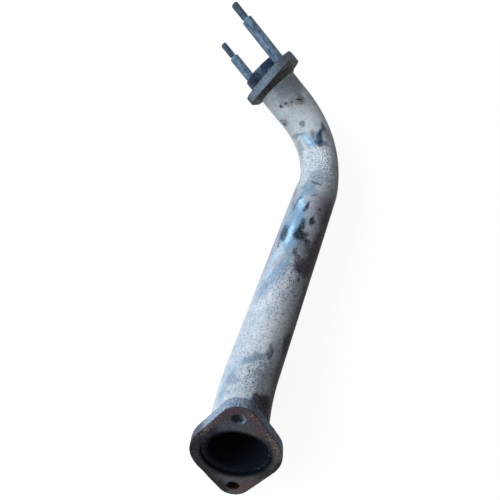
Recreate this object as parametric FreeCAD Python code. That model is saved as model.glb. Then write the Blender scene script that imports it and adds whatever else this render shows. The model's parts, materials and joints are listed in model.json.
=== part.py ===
"""Exhaust front pipe of a passenger car: one bent steel tube between two diamond flanges.

The lower flange has two open bolt holes and a recess round the open end of the tube. The upper
flange carries two long shoulder studs and a ring gasket. The pipe lies on the floor as it comes
to rest: on its two bends and on one lobe of the upper flange. The long straight run lies along
+Y, +Z is up and the origin is on the floor under the middle of the pipe. Millimetres and degrees.
"""
import FreeCAD, Part
import math
import os

Vector = FreeCAD.Vector
Placement = FreeCAD.Placement
Rotation = FreeCAD.Rotation

# Tube
pipe_od = 50.0
pipe_wall = 1.8
upper_bend_flattening = 5.0
upper_bend_bulge_height = 1.0
oval_sections = 9

# Route of the tube, from the back of the lower flange to the back of the upper flange
lower_lead = 12.0
lower_bend_radius = 95.0
lower_bend_angle = 33.8
lower_bend_roll_angle = 25.7
long_run = 216.0
upper_bend_radius = 97.0
upper_bend_angle = 71.8
upper_bend_roll_angle = -81.8
upper_lead = 38.0
upper_flange_roll_angle = 66.2

# Lower flange
lower_thickness = 9.0
lower_bolt_spacing = 85.0
lower_bolt_hole = 10.5
lower_lobe_radius = 13.5
lower_rim_width = 11.5
recess_gap = 3.0
recess_depth = 4.0
pipe_standout = 1.0

# Upper flange
upper_thickness = 10.0
stud_spacing = 85.0
upper_lobe_radius = 15.0
upper_rim_width = 12.5
gasket_seat_depth = 2.0

# Both flanges
edge_radius = 0.8
hole_chamfer = 0.5

# Studs
stud_root_inset = 0.5
shoulder_diameter = 12.0
shoulder_ledge = 1.0
shoulder_length = 56.0
thread_diameter = 8.0
thread_length = 21.0
thread_relief_depth = 0.7
thread_relief_length = 1.8
shoulder_chamfer = 0.6
tip_chamfer = 1.1

# Ring gasket
gasket_outer_step = 1.0
gasket_inner_step = 1.7
gasket_proud = 14.0
gasket_edge = 1.5
gasket_clearance = 0.15

# Weld beads
bead_leg = 5.0
bead_crown = 0.6
seal_bead_rise = 0.5

# Resting on the floor: which side of the pipe is up in the lower flange's frame, to start with
roughly_up = Vector(0.2, 0.8, 0.55)
settling_rounds = 30
support_steps = 180

pipe_radius = pipe_od / 2
bore_radius = pipe_radius - pipe_wall
recess_radius = pipe_radius + recess_gap
gasket_radius = pipe_radius + gasket_outer_step
gasket_bore_radius = bore_radius - gasket_inner_step
stud_root_radius = shoulder_diameter / 2 - shoulder_ledge
X_AXIS = Vector(1, 0, 0)
Y_AXIS = Vector(0, 1, 0)
Z_AXIS = Vector(0, 0, 1)
TURNED_OVER = Placement(Vector(), Rotation(X_AXIS, 180))


def moved(shape, place):
    """A copy of the shape, put where the placement says."""
    copy = shape.copy()
    copy.Placement = place.multiply(copy.Placement)
    return copy


def shifted(distance):
    """A step along the local Z axis."""
    return Placement(Vector(0, 0, distance), Rotation())


def rolled(angle):
    """A turn about the local Z axis."""
    return Placement(Vector(), Rotation(Z_AXIS, angle))


def bent(radius, angle):
    """The frame at the end of a bend towards the local X axis."""
    to_centre = Placement(Vector(radius, 0, 0), Rotation(Y_AXIS, angle))
    return to_centre.multiply(Placement(Vector(-radius, 0, 0), Rotation()))


def route():
    """Frames at the start of each run of the tube, with local Z along the tube.

    The lower flange's front face is the XY plane of the design frame, with its bolt line on Y.
    """
    back_of_flange = Placement(Vector(0, 0, -lower_thickness), Rotation(Y_AXIS, X_AXIS, -Z_AXIS))
    first_bend = back_of_flange.multiply(shifted(lower_lead)).multiply(rolled(lower_bend_roll_angle))
    run = first_bend.multiply(bent(lower_bend_radius, lower_bend_angle))
    second_bend = run.multiply(shifted(long_run)).multiply(rolled(upper_bend_roll_angle))
    lead = second_bend.multiply(bent(upper_bend_radius, upper_bend_angle))
    end = lead.multiply(shifted(upper_lead)).multiply(rolled(upper_flange_roll_angle))
    return back_of_flange, first_bend, run, second_bend, lead, end


def round_bend(radius):
    """The lower bend as a solid of round section, towards the local X axis."""
    disc = Part.Face(Part.Wire(Part.makeCircle(radius)))
    return disc.revolve(Vector(lower_bend_radius, 0, 0), Y_AXIS, lower_bend_angle)


def ovality(share):
    """How far the section is squeezed at a share of the bend: nothing at its ends, all at its middle."""
    return 4 * share * (1 - share)


def oval_axes(radius, share):
    """Half widths of the section in the bend's plane and across it."""
    squeeze = ovality(share)
    return radius - squeeze * upper_bend_flattening, radius + squeeze * upper_bend_bulge_height


def oval_bend(radius):
    """The upper bend as a solid, squeezed flatter at its middle as a tube is when it is bent tight."""
    sections = []
    for index in range(oval_sections):
        share = index / (oval_sections - 1)
        in_plane, across = oval_axes(radius, share)
        ellipse = Part.Ellipse(Vector(0, across, 0), Vector(-in_plane, 0, 0), Vector())
        wire = Part.Wire(ellipse.toShape())
        sections.append(moved(wire, bent(upper_bend_radius, share * upper_bend_angle)))
    return Part.makeLoft(sections, True)


def tube_core(radius, lower_reach, upper_reach):
    """Solid rod along the whole route, with its ends past the backs of the flanges."""
    back, first_bend, run, second_bend, lead, end = route()
    start = back.multiply(shifted(-lower_reach))
    runs = [
        moved(Part.makeCylinder(radius, lower_reach + lower_lead), start),
        moved(round_bend(radius), first_bend),
        moved(Part.makeCylinder(radius, long_run), run),
        moved(oval_bend(radius), second_bend),
        moved(Part.makeCylinder(radius, upper_lead + upper_reach), lead),
    ]
    return runs[0].multiFuse(runs[1:])


def pipe():
    """The bent tube, open at both ends."""
    lower_reach = lower_thickness - recess_depth + pipe_standout
    upper_reach = upper_thickness - gasket_seat_depth
    outside = tube_core(pipe_radius, lower_reach, upper_reach)
    inside = tube_core(bore_radius, lower_reach, upper_reach)
    return outside.cut(inside)


def diamond_plate(spacing, lobe_radius, side_radius, thickness):
    """Two-bolt flange blank: three discs on the X axis wrapped by tangent lines, edges rounded."""
    half = spacing / 2
    angle = math.acos((side_radius - lobe_radius) / half)
    rise = math.sin(angle)
    reach = math.cos(angle)
    side = Vector(side_radius * reach, side_radius * rise, 0)
    lobe = Vector(half + lobe_radius * reach, lobe_radius * rise, 0)

    def mirrored(point, x_sign, y_sign):
        return Vector(point.x * x_sign, point.y * y_sign, 0)

    tip = Vector(half + lobe_radius, 0, 0)
    top = Vector(0, side_radius, 0)
    outline = Part.Wire([
        Part.Arc(mirrored(lobe, 1, -1), tip, lobe).toShape(),
        Part.LineSegment(lobe, side).toShape(),
        Part.Arc(side, top, mirrored(side, -1, 1)).toShape(),
        Part.LineSegment(mirrored(side, -1, 1), mirrored(lobe, -1, 1)).toShape(),
        Part.Arc(mirrored(lobe, -1, 1), -tip, mirrored(lobe, -1, -1)).toShape(),
        Part.LineSegment(mirrored(lobe, -1, -1), mirrored(side, -1, -1)).toShape(),
        Part.Arc(mirrored(side, -1, -1), -top, mirrored(side, 1, -1)).toShape(),
        Part.LineSegment(mirrored(side, 1, -1), mirrored(lobe, 1, -1)).toShape(),
    ])
    blank = Part.Face(outline).extrude(Vector(0, 0, thickness))
    rims = [edge for edge in blank.Edges if edge.BoundBox.ZLength < edge_radius]
    return blank.makeFillet(edge_radius, rims)


def chamfered_hole(diameter, depth, chamfer):
    """Cutter for a hole from z = 0 up to the depth, widened at both mouths."""
    radius = diameter / 2
    mouth = Part.makeCone(radius + chamfer, radius, chamfer)
    far_mouth = Part.makeCone(radius, radius + chamfer, chamfer, Vector(0, 0, depth - chamfer))
    return Part.makeCylinder(radius, depth).multiFuse([mouth, far_mouth])


def lower_flange(back):
    """Plate with two bolt holes and a recess round the tube's end."""
    side_radius = pipe_radius + lower_rim_width
    plate = diamond_plate(lower_bolt_spacing, lower_lobe_radius, side_radius, lower_thickness)
    cutters = [Part.makeCylinder(pipe_radius, lower_thickness)]
    recess_floor = lower_thickness - recess_depth
    cutters.append(Part.makeCylinder(recess_radius, recess_depth, Vector(0, 0, recess_floor)))
    for side in (-1, 1):
        hole = chamfered_hole(lower_bolt_hole, lower_thickness, hole_chamfer)
        cutters.append(moved(hole, Placement(Vector(side * lower_bolt_spacing / 2, 0, 0), Rotation())))
    return moved(plate.cut(cutters), back.multiply(TURNED_OVER))


def upper_flange(end):
    """Plate with two stud holes and a seat for the ring gasket."""
    side_radius = pipe_radius + upper_rim_width
    plate = diamond_plate(stud_spacing, upper_lobe_radius, side_radius, upper_thickness)
    cutters = [Part.makeCylinder(pipe_radius, upper_thickness)]
    seat_radius = gasket_radius + gasket_clearance
    seat_floor = upper_thickness - gasket_seat_depth
    cutters.append(Part.makeCylinder(seat_radius, gasket_seat_depth, Vector(0, 0, seat_floor)))
    for side in (-1, 1):
        place = Vector(side * stud_spacing / 2, 0, 0)
        cutters.append(Part.makeCylinder(stud_root_radius, upper_thickness, place))
    return moved(plate.cut(cutters), end)


def turned(profile):
    """A solid turned about the Z axis from a closed profile of (radius, height) corners."""
    corners = [Vector(radius, 0, height) for radius, height in profile]
    outline = Part.makePolygon(corners + corners[:1])
    return Part.Face(outline).revolve(Vector(), Z_AXIS, 360)


def stud(end, side):
    """Shoulder stud pressed into the upper flange, with its threaded end plain here."""
    root = stud_root_radius
    shoulder = shoulder_diameter / 2
    thread = thread_diameter / 2
    relief = thread - thread_relief_depth
    top = shoulder_length
    tip = shoulder_length + thread_length
    root_length = upper_thickness - stud_root_inset
    profile = [
        (0, -root_length),
        (root, -root_length),
        (root, 0),
        (shoulder, 0),
        (shoulder, top - shoulder_chamfer),
        (shoulder - shoulder_chamfer, top),
        (relief, top),
        (relief, top + thread_relief_length),
        (thread, top + thread_relief_length + thread_relief_depth),
        (thread, tip - tip_chamfer),
        (thread - tip_chamfer, tip),
        (0, tip),
    ]
    on_face = Placement(Vector(side * stud_spacing / 2, 0, upper_thickness), Rotation())
    return moved(turned(profile), end.multiply(on_face))


def ring_gasket(end):
    """Ring that sits in the upper flange's seat, rounded at its outer front edge."""
    height = gasket_seat_depth + gasket_proud
    ring = Part.makeCylinder(gasket_radius, height).cut(Part.makeCylinder(gasket_bore_radius, height))
    between = gasket_radius + gasket_bore_radius
    front_edges = [
        edge for edge in ring.Edges
        if edge.BoundBox.ZMin > height / 2 and edge.BoundBox.XLength > between
    ]
    ring = ring.makeFillet(gasket_edge, front_edges)
    return moved(ring, end.multiply(shifted(upper_thickness - gasket_seat_depth)))


def fillet_bead():
    """Weld round the tube where it meets a plate: a triangle with a slightly crowned face."""
    outer = pipe_radius + bead_leg
    crown = pipe_radius + bead_leg / 2 + bead_crown
    face = Part.Arc(Vector(outer, 0, 0), Vector(crown, 0, bead_leg / 2 + bead_crown),
                    Vector(pipe_radius, 0, bead_leg)).toShape()
    up_tube = Part.LineSegment(Vector(pipe_radius, 0, bead_leg), Vector(pipe_radius, 0, 0)).toShape()
    on_plate = Part.LineSegment(Vector(pipe_radius, 0, 0), Vector(outer, 0, 0)).toShape()
    return Part.Face(Part.Wire([face, up_tube, on_plate])).revolve(Vector(), Z_AXIS, 360)


def seal_bead():
    """Weld in the lower flange's recess, between the tube's end and the recess wall."""
    return turned([
        (pipe_radius, 0),
        (recess_radius, 0),
        (recess_radius, pipe_standout + seal_bead_rise),
        (pipe_radius, pipe_standout),
    ])


def lowest_point(ring, down):
    """The lowest point of an oval ring that has a rounded edge."""
    place, half_x, half_y, padding = ring
    local = place.Rotation.inverted().multVec(down)
    length = math.hypot(half_x * local.x, half_y * local.y)
    point = Vector(half_x ** 2 * local.x / length, half_y ** 2 * local.y / length, 0)
    return place.multVec(point) + down * padding


def tube_rings(start, along, axes):
    """Rings of the tube's outside along one bend."""
    rings = []
    for step in range(support_steps + 1):
        share = step / support_steps
        half_x, half_y = axes(share)
        rings.append((start.multiply(along(share)), half_x, half_y, 0))
    return rings


def flange_rings(end):
    """Rings of the upper flange's lobes at both faces."""
    rings = []
    inner = upper_lobe_radius - edge_radius
    for side in (-1, 1):
        for height in (edge_radius, upper_thickness - edge_radius):
            spot = Placement(Vector(side * stud_spacing / 2, 0, height), Rotation())
            rings.append((end.multiply(spot), inner, inner, edge_radius))
    return rings


def resting_plane():
    """Up direction and floor height in the design frame when the pipe lies on its two bends and a lobe.

    Each support gives its lowest point, the plane through the three points gives a better up
    direction, and a few rounds of this settle it.
    """
    back, first_bend, run, second_bend, lead, end = route()
    supports = [
        tube_rings(first_bend, lambda share: bent(lower_bend_radius, share * lower_bend_angle),
                   lambda share: (pipe_radius, pipe_radius)),
        tube_rings(second_bend, lambda share: bent(upper_bend_radius, share * upper_bend_angle),
                   lambda share: oval_axes(pipe_radius, share)),
        flange_rings(end),
    ]
    up = roughly_up
    for _ in range(settling_rounds):
        lows = []
        for rings in supports:
            points = [lowest_point(ring, -up) for ring in rings]
            lows.append(min(points, key=lambda point: point.dot(up)))
        normal = (lows[1] - lows[0]).cross(lows[2] - lows[0]).normalize()
        up = normal if normal.dot(up) > 0 else -normal
    return up, lows[0].dot(up), run.Rotation.multVec(Z_AXIS)


def resting_place():
    """Placement that takes the design frame to the floor, with the long run along Y."""
    up, floor, along = resting_plane()
    across = along.cross(up).normalize()
    forward = up.cross(across)
    turn = Rotation(across, forward, up).inverted()
    return Placement(Vector(0, 0, -floor), turn)


def build():
    """All pieces by name, resting on the floor round the origin."""
    back, first_bend, run, second_bend, lead, end = route()
    recess_floor = back.multiply(shifted(recess_depth - lower_thickness))
    pieces = {
        "pipe": pipe(),
        "lower_flange": lower_flange(back),
        "upper_flange": upper_flange(end),
        "lower_weld_bead": moved(fillet_bead(), back),
        "lower_seal_bead": moved(seal_bead(), recess_floor.multiply(TURNED_OVER)),
        "upper_weld_bead": moved(fillet_bead(), end.multiply(TURNED_OVER)),
        "ring_gasket": ring_gasket(end),
        "stud_near": stud(end, 1),
        "stud_far": stud(end, -1),
    }
    rest = resting_place()
    laid = {name: moved(shape, rest) for name, shape in pieces.items()}
    box = Part.makeCompound(list(laid.values())).optimalBoundingBox(True, False)
    centre = Placement(Vector(-box.Center.x, -box.Center.y, 0), Rotation())
    return {name: moved(shape, centre) for name, shape in laid.items()}


os.makedirs("parts", exist_ok=True)
for name, shape in build().items():
    shape.exportStep(os.path.join("parts", name + ".step"))
    box = shape.optimalBoundingBox(True, False)
    print(name, "valid", shape.isValid(), "solids", len(shape.Solids), "faces", len(shape.Faces),
          "volume", round(shape.Volume), "z", round(box.ZMin, 2), round(box.ZMax, 2))
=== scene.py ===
# %% [markdown]
# # Exhaust front pipe of a passenger car
# The real object is one bent steel tube, 50 mm across, with a two-bolt flange welded to each end.
# The lower flange has two open bolt holes. The upper one carries two long shoulder studs and a ring
# gasket. All of it is worn: the tube's aluminium coating has gone chalky, and it has burns, oil marks
# and scuffs. The sizes come from a fixed CAD frame, and this notebook gives each piece its surface.

import json
import math
from functools import partial

import bpy
import numpy as np
from mathutils import Matrix, Vector


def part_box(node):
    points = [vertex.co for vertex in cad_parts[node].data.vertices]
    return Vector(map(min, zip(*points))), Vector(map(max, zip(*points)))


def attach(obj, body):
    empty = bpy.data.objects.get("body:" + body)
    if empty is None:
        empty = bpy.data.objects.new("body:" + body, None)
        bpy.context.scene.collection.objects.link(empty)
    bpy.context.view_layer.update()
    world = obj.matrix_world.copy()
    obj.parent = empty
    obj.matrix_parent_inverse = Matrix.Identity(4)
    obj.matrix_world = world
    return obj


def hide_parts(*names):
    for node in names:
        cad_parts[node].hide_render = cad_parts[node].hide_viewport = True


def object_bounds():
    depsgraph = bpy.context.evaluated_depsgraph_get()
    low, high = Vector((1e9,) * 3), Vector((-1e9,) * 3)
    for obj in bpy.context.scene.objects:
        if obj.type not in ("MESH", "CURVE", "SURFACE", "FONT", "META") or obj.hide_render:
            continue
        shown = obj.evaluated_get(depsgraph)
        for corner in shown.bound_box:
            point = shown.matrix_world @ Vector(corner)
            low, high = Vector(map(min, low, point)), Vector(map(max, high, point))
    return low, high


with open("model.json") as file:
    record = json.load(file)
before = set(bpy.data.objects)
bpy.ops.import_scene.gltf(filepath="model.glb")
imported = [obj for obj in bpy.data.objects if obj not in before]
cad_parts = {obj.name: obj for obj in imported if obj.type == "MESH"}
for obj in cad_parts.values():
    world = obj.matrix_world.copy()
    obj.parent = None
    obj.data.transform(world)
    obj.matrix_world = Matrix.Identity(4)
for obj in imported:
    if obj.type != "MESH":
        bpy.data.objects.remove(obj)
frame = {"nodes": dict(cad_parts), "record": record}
cad_low, cad_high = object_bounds()
MM = 0.001
print("CAD box in mm", [round(c / MM, 1) for c in (*cad_low, *cad_high)])

# %% [markdown]
# ## Where things are
# The record of the frame names the mounting faces, so the two flanges' centres and directions can be
# read from it. The point of the lower one lies 1 mm inside the plate. The stud boxes differ only by
# the step from one stud to the other, which gives the upper flange's bolt line. The lower flange's
# bolt line is the longest direction of its own points.

# %% Flange centres and directions
def unit(vector):
    """The vector divided by its length."""
    return np.asarray(vector, float) / np.linalg.norm(vector)


mounts = {mount["name"]: mount for mount in frame["record"]["mounts"]}
LOWER_THICKNESS = 9.0 * MM
UPPER_THICKNESS = 10.0 * MM
BOLT_SPACING = 85.0 * MM
LOWER_MOUNT_DEPTH = 1.0 * MM

lower_out = unit(mounts["lower_bolt_holes"]["axis"])
upper_out = unit(mounts["upper_studs"]["axis"])
lower_face = np.array(mounts["lower_bolt_holes"]["pos_m"]) + lower_out * LOWER_MOUNT_DEPTH
upper_face = np.array(mounts["upper_studs"]["pos_m"])


def box_centre(node):
    """The middle of a node's box."""
    low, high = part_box(node)
    return (np.array(low) + np.array(high)) / 2


upper_line = unit(box_centre("stud_near") - box_centre("stud_far"))


def points_of(piece):
    """All vertices of a mesh object as an array."""
    flat = np.empty(len(piece.data.vertices) * 3, np.float32)
    piece.data.vertices.foreach_get("co", flat)
    return flat.reshape(-1, 3).astype(float)


plate_points = points_of(frame["nodes"]["lower_flange"])
spread = plate_points - plate_points.mean(axis=0)
lower_line = unit(np.linalg.svd(spread, full_matrices=False)[2][0])
lower_line = unit(lower_line - lower_out * (lower_line @ lower_out))
lower_line = lower_line if lower_line[2] > 0 else -lower_line
print("lower bolt line", lower_line.round(4), "upper bolt line", upper_line.round(4))

# %% [markdown]
# ## The camera
# The photograph was taken from just above the lower flange, looking along the tube, with a wide lens
# held close. That makes the near flange large and the far one small. The camera stands where such a
# picture is taken from: a place, a point that it looks at, a roll, and a lens that is shifted a little.

# %% Camera
CAMERA_PLACE = np.array([1.26, -206.48, 379.23]) * MM
CAMERA_TARGET = np.array([26.03, -25.98, 40.0]) * MM
CAMERA_ROLL = 31.70
SENSOR_WIDTH = 36.0
LENS_TO_SENSOR = 0.76192
LENS_SHIFT = (-0.0040, -0.0079)

camera_data = bpy.data.cameras.new("camera")
camera_data.sensor_width = SENSOR_WIDTH
camera_data.lens = SENSOR_WIDTH * LENS_TO_SENSOR
camera_data.shift_x, camera_data.shift_y = LENS_SHIFT
camera_data.clip_start = 0.01
camera_data.clip_end = 20.0
camera = bpy.data.objects.new("camera", camera_data)
bpy.context.scene.collection.objects.link(camera)
looking = Vector(CAMERA_TARGET - CAMERA_PLACE).to_track_quat("-Z", "Y").to_matrix().to_4x4()
roll = Matrix.Rotation(math.radians(CAMERA_ROLL), 4, "Z")
camera.matrix_world = Matrix.Translation(CAMERA_PLACE) @ looking @ roll
bpy.context.scene.camera = camera
print("lens", round(camera_data.lens, 2), "mm")

# %% [markdown]
# ## Helpers for finishes
# A finish is a small tree of nodes. One function adds a node, sets it and links it, and an input may
# be a number, a colour, a socket or another node. Colours are written as sRGB hex values, as they
# look on a screen, and are turned to linear light. Pattern sizes are written in millimetres: on
# Object coordinates in metres, a pattern of that size has the scale 1 / size.

# %% Colour, scale and node helpers
def linear(hex_colour):
    """sRGB hex to linear RGBA: c / 12.92 when dark, else ((c + 0.055) / 1.055) to the power 2.4."""
    channels = np.array([int(hex_colour[i:i + 2], 16) / 255 for i in (0, 2, 4)])
    low = channels / 12.92
    high = ((channels + 0.055) / 1.055) ** 2.4
    return (*np.where(channels <= 0.04045, low, high), 1.0)


def per_mm(size):
    """Texture scale for a pattern whose parts are this many millimetres across."""
    return 1.0 / (size * MM)


def add_node(tree, kind, inputs=None, **settings):
    """Adds one node, applies its settings, and gives each input a value, a hex colour or a link.

    An input that is itself a node is linked from that node's first output in use.
    """
    node = tree.nodes.new("ShaderNode" + kind)
    for name, value in settings.items():
        setattr(node, name, value)
    for key, value in (inputs or {}).items():
        if isinstance(value, bpy.types.Node):
            value = next(socket for socket in value.outputs if socket.enabled)
        if isinstance(value, bpy.types.NodeSocket):
            tree.links.new(value, node.inputs[key])
        else:
            node.inputs[key].default_value = linear(value) if isinstance(value, str) else value
    return node


def new_material(name):
    """An empty node material, and add_node for its tree."""
    material = bpy.data.materials.new(name)
    material.use_nodes = True
    material.node_tree.nodes.clear()
    return material, partial(add_node, material.node_tree)


# A colour mix shares its names with other kinds of data, so its inputs are given by number. So are
# a Map Range's: 0 is the value, 1 and 2 are the range it comes from, 3 and 4 the one it goes to.
FACTOR, FIRST, SECOND = 0, 6, 7
print("light grey in linear light", np.round(linear("c3c8cc")[:3], 3))

# %% [markdown]
# ## Helpers for shapes
# Each new piece is a grid of points worked out as whole arrays, and a grid may close on itself in
# both directions, as a tube's wall does. Its faces are built from the index grid in one step. Uneven
# metal needs noise that can be asked for at any point, so random values on a cubic lattice are
# blended between the eight nearest corners.

# %% Grid mesh and noise
def grid_piece(name, points, close_rows, close_columns, caps=()):
    """A mesh from a (rows, columns, 3) grid. Each face joins a point to its right and upper neighbours.

    caps are row numbers that are closed with a point at the row's middle.
    """
    rows, columns = points.shape[:2]
    index = np.arange(rows * columns).reshape(rows, columns)
    low = index if close_rows else index[:-1]
    high = np.roll(index, -1, axis=0) if close_rows else index[1:]
    if close_columns:
        right_low, right_high = np.roll(low, -1, axis=1), np.roll(high, -1, axis=1)
    else:
        low, high, right_low, right_high = low[:, :-1], high[:, :-1], low[:, 1:], high[:, 1:]
    quads = np.stack([low, right_low, right_high, high], axis=-1).reshape(-1, 4)
    vertices = points.reshape(-1, 3)
    fans = []
    for row in caps:
        middle = len(vertices)
        vertices = np.vstack([vertices, points[row].mean(axis=0)])
        ring, following = index[row], np.roll(index[row], -1)
        pair = (following, ring) if row == 0 else (ring, following)
        fans.append(np.stack([*pair, np.full(columns, middle)], axis=-1))
    mesh = bpy.data.meshes.new(name)
    faces = quads.tolist() + [face for fan in fans for face in fan.tolist()]
    mesh.from_pydata(vertices.tolist(), [], faces)
    mesh.polygons.foreach_set("use_smooth", np.ones(len(mesh.polygons), bool))
    mesh.update()
    piece = bpy.data.objects.new(name, mesh)
    bpy.context.scene.collection.objects.link(piece)
    return piece


LATTICE = 32


def lumps(points, size, seed):
    """Smooth noise from -1 to 1 with lumps of the given size, blended between lattice corners."""
    table = np.random.default_rng(seed).uniform(-1, 1, (LATTICE,) * 3)
    cell = points / size
    base = np.floor(cell).astype(int)
    blend = (cell - base) ** 2 * (3 - 2 * (cell - base))
    total = np.zeros(points.shape[:-1])
    for corner in np.ndindex(2, 2, 2):
        at = (base + corner) % LATTICE
        weight = np.where(corner, blend, 1 - blend).prod(axis=-1)
        total += table[at[..., 0], at[..., 1], at[..., 2]] * weight
    return total


def mark(piece, name, values):
    """Stores one number per vertex, from 0 to 1, for a material to read."""
    layer = piece.data.attributes.new(name, "FLOAT", "POINT")
    layer.data.foreach_set("value", np.clip(values, 0, 1).astype(np.float32).ravel())


def ramp(values, start, end):
    """0 at start, 1 at end, and a smooth step 3 x^2 - 2 x^3 between."""
    rise = np.clip((values - start) / (end - start), 0, 1)
    return rise ** 2 * (3 - 2 * rise)


EDGE_ROUGHNESS = 0.20


def ovals(along, beside, places, fray):
    """Soft ovals of one kind laid over each other: 1 - product of (1 - cover).

    A place is (along, beside, length, width, lean in degrees, softness, strength). Its cover is the
    strength times a smooth step of 1/2 + (1 - radius) / softness, where the radius is 1 at the edge.
    """
    bare = np.ones_like(along)
    for centre, across, length, width, lean, softness, strength in places.values():
        cosine, sine = math.cos(math.radians(lean)), math.sin(math.radians(lean))
        lengthwise = ((along - centre) * cosine + (beside - across) * sine) / (length / 2)
        sideways = ((beside - across) * cosine - (along - centre) * sine) / (width / 2)
        radius = np.hypot(lengthwise, sideways) + EDGE_ROUGHNESS * fray
        bare = bare * (1 - strength * ramp(0.5 + (1 - radius) / softness, 0, 1))
    return 1 - bare


print("noise at the middle of a cell", lumps(np.array([[0.5, 0.5, 0.5]]), 1.0, 1).round(3))

# %% [markdown]
# ## The line of the tube
# A tube bender makes straight runs joined by arcs. The directions are known: out of the back of the
# lower flange, along +Y, and into the upper flange. Each arc turns one direction into the next about
# the axis at right angles to both, so only the lengths and radii are needed. Each station of the
# line keeps a cross direction, which is turned with the tube, so angles round the tube run on
# smoothly from end to end.

# %% Stations of the tube's line
# A lead is the straight tube beside a flange, and a reach is how far it goes on into the plate
LOWER_LEAD = 12.0 * MM
LOWER_BEND_RADIUS = 95.0 * MM
LONG_RUN = 216.0 * MM
UPPER_BEND_RADIUS = 97.0 * MM
UPPER_LEAD = 38.0 * MM
LOWER_REACH = 6.0 * MM
UPPER_REACH = 8.0 * MM
STATION_STEP = 1.15 * MM


def about(vector, axis, angles):
    """The vector turned about the axis: v cos a + (axis x v) sin a + axis (axis . v) (1 - cos a)."""
    angles = np.asarray(angles)[:, None]
    side = np.cross(axis, vector)
    along = axis * (axis @ vector)
    return vector * np.cos(angles) + side * np.sin(angles) + along * (1 - np.cos(angles))


def straight(start, along, across, distances):
    """Stations at the given distances on a straight line, with no squeeze."""
    count = len(distances)
    return {
        "distance": distances,
        "place": start + along * distances[:, None],
        "along": np.tile(along, (count, 1)),
        "across": np.tile(across, (count, 1)),
        "inward": np.zeros((count, 3)),
        "squeeze": np.zeros(count),
    }


def arc(start, along, across, new_along, radius, squeezed):
    """Stations on an arc from one direction to the next, squeezed most at its middle."""
    axis = unit(np.cross(along, new_along))
    turn = math.acos(along @ new_along)
    count = int(radius * turn / STATION_STEP)
    angles = np.arange(count) * turn / count
    inward = np.cross(axis, along)
    centre = start + inward * radius
    stations = {
        "distance": radius * angles,
        "place": centre + about(-inward * radius, axis, angles),
        "along": about(along, axis, angles),
        "across": about(across, axis, angles),
        "inward": about(inward, axis, angles),
        "squeeze": squeezed * 4 * (angles / turn) * (1 - angles / turn),
    }
    end = centre + about(-inward * radius, axis, [turn])[0]
    return stations, end, about(across, axis, [turn])[0], radius * turn


def joined(parts, lengths):
    """One set of stations from several, with distances counted on from part to part."""
    offsets = np.concatenate([[0], np.cumsum(lengths)[:-1]])
    path = {key: np.concatenate([part[key] for part in parts]) for key in parts[0]}
    path["distance"] = np.concatenate([p["distance"] + o for p, o in zip(parts, offsets)])
    return path


def steps(first, last):
    """Evenly spaced distances from first up to, not including, last."""
    return np.linspace(first, last, max(2, round((last - first) / STATION_STEP)), endpoint=False)


def tube_line():
    """Stations from the tube's lower end to its upper end."""
    back = lower_face - lower_out * LOWER_THICKNESS
    out, run = -lower_out, np.array([0.0, 1.0, 0.0])
    up = unit(np.array([0, 0, 1]) - out * out[2])
    lead = straight(back, out, up, steps(-LOWER_REACH, LOWER_LEAD))
    first, place, up, first_length = arc(back + out * LOWER_LEAD, out, up, run, LOWER_BEND_RADIUS, 0)
    middle = straight(place, run, up, steps(0, LONG_RUN))
    second, place, up, second_length = arc(place + run * LONG_RUN, run, up, upper_out, UPPER_BEND_RADIUS, 1)
    end = UPPER_LEAD + UPPER_REACH
    last = straight(place, upper_out, up, np.append(steps(0, end), end))
    lengths = [LOWER_LEAD, first_length, LONG_RUN, second_length, UPPER_LEAD]
    return joined([lead, first, middle, second, last], lengths), sum(lengths)


line, tube_length = tube_line()
miss = np.linalg.norm(line["place"][-1] - (upper_face - upper_out * (UPPER_THICKNESS - UPPER_REACH)))
print("tube length", round(tube_length / MM, 1), "mm, its end misses by", round(miss / MM, 3), "mm")
print("stations", len(line["distance"]))

# %% [markdown]
# ## The tube's wall
# The wall is one surface that closes both ways: along the outside, round the lower rim, back through
# the bore and round the upper rim. Bending squeezes the section of the upper bend to an oval and
# leaves shallow ripples on its inner side. Hammering, scale and years of heat leave the outside a
# little uneven. Dents, pits and ripples all go inwards, so the tube keeps its outside size.

# %% Section of the tube
TUBE_RADIUS = 25.0 * MM
TUBE_WALL = 1.8 * MM
BEND_FLATTENING = 5.0 * MM
BEND_BULGE = 1.0 * MM
ROUND_STEPS = 168


def ring_directions(path, turns):
    """Unit vectors round each station: across cos t + (along x across) sin t."""
    side = np.cross(path["along"], path["across"])
    return path["across"][:, None] * np.cos(turns)[:, None] + side[:, None] * np.sin(turns)[:, None]


def ring_radii(path, directions, radius):
    """Radius of the oval at each direction: 1 / sqrt((cos / a)^2 + (sin / b)^2)."""
    toward = np.einsum("ijk,ik->ij", directions, path["inward"])
    in_plane = (radius - BEND_FLATTENING * path["squeeze"])[:, None]
    beyond = (radius + BEND_BULGE * path["squeeze"])[:, None]
    return 1 / np.sqrt((toward / in_plane) ** 2 + (1 - toward ** 2) / beyond ** 2), toward


turns = np.linspace(-math.pi, math.pi, ROUND_STEPS, endpoint=False)
directions = ring_directions(line, turns)
outer_radii, toward_centre = ring_radii(line, directions, TUBE_RADIUS)
distance_mm = np.repeat(line["distance"][:, None] / MM, ROUND_STEPS, axis=1)
turn_degrees = np.repeat(np.degrees(turns)[None, :], len(line["distance"]), axis=0)
smooth_points = line["place"][:, None] + directions * outer_radii[..., None]
print("widest", round(outer_radii.max() * 2 / MM, 1), "narrowest", round(outer_radii.min() * 2 / MM, 1), "mm")

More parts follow.
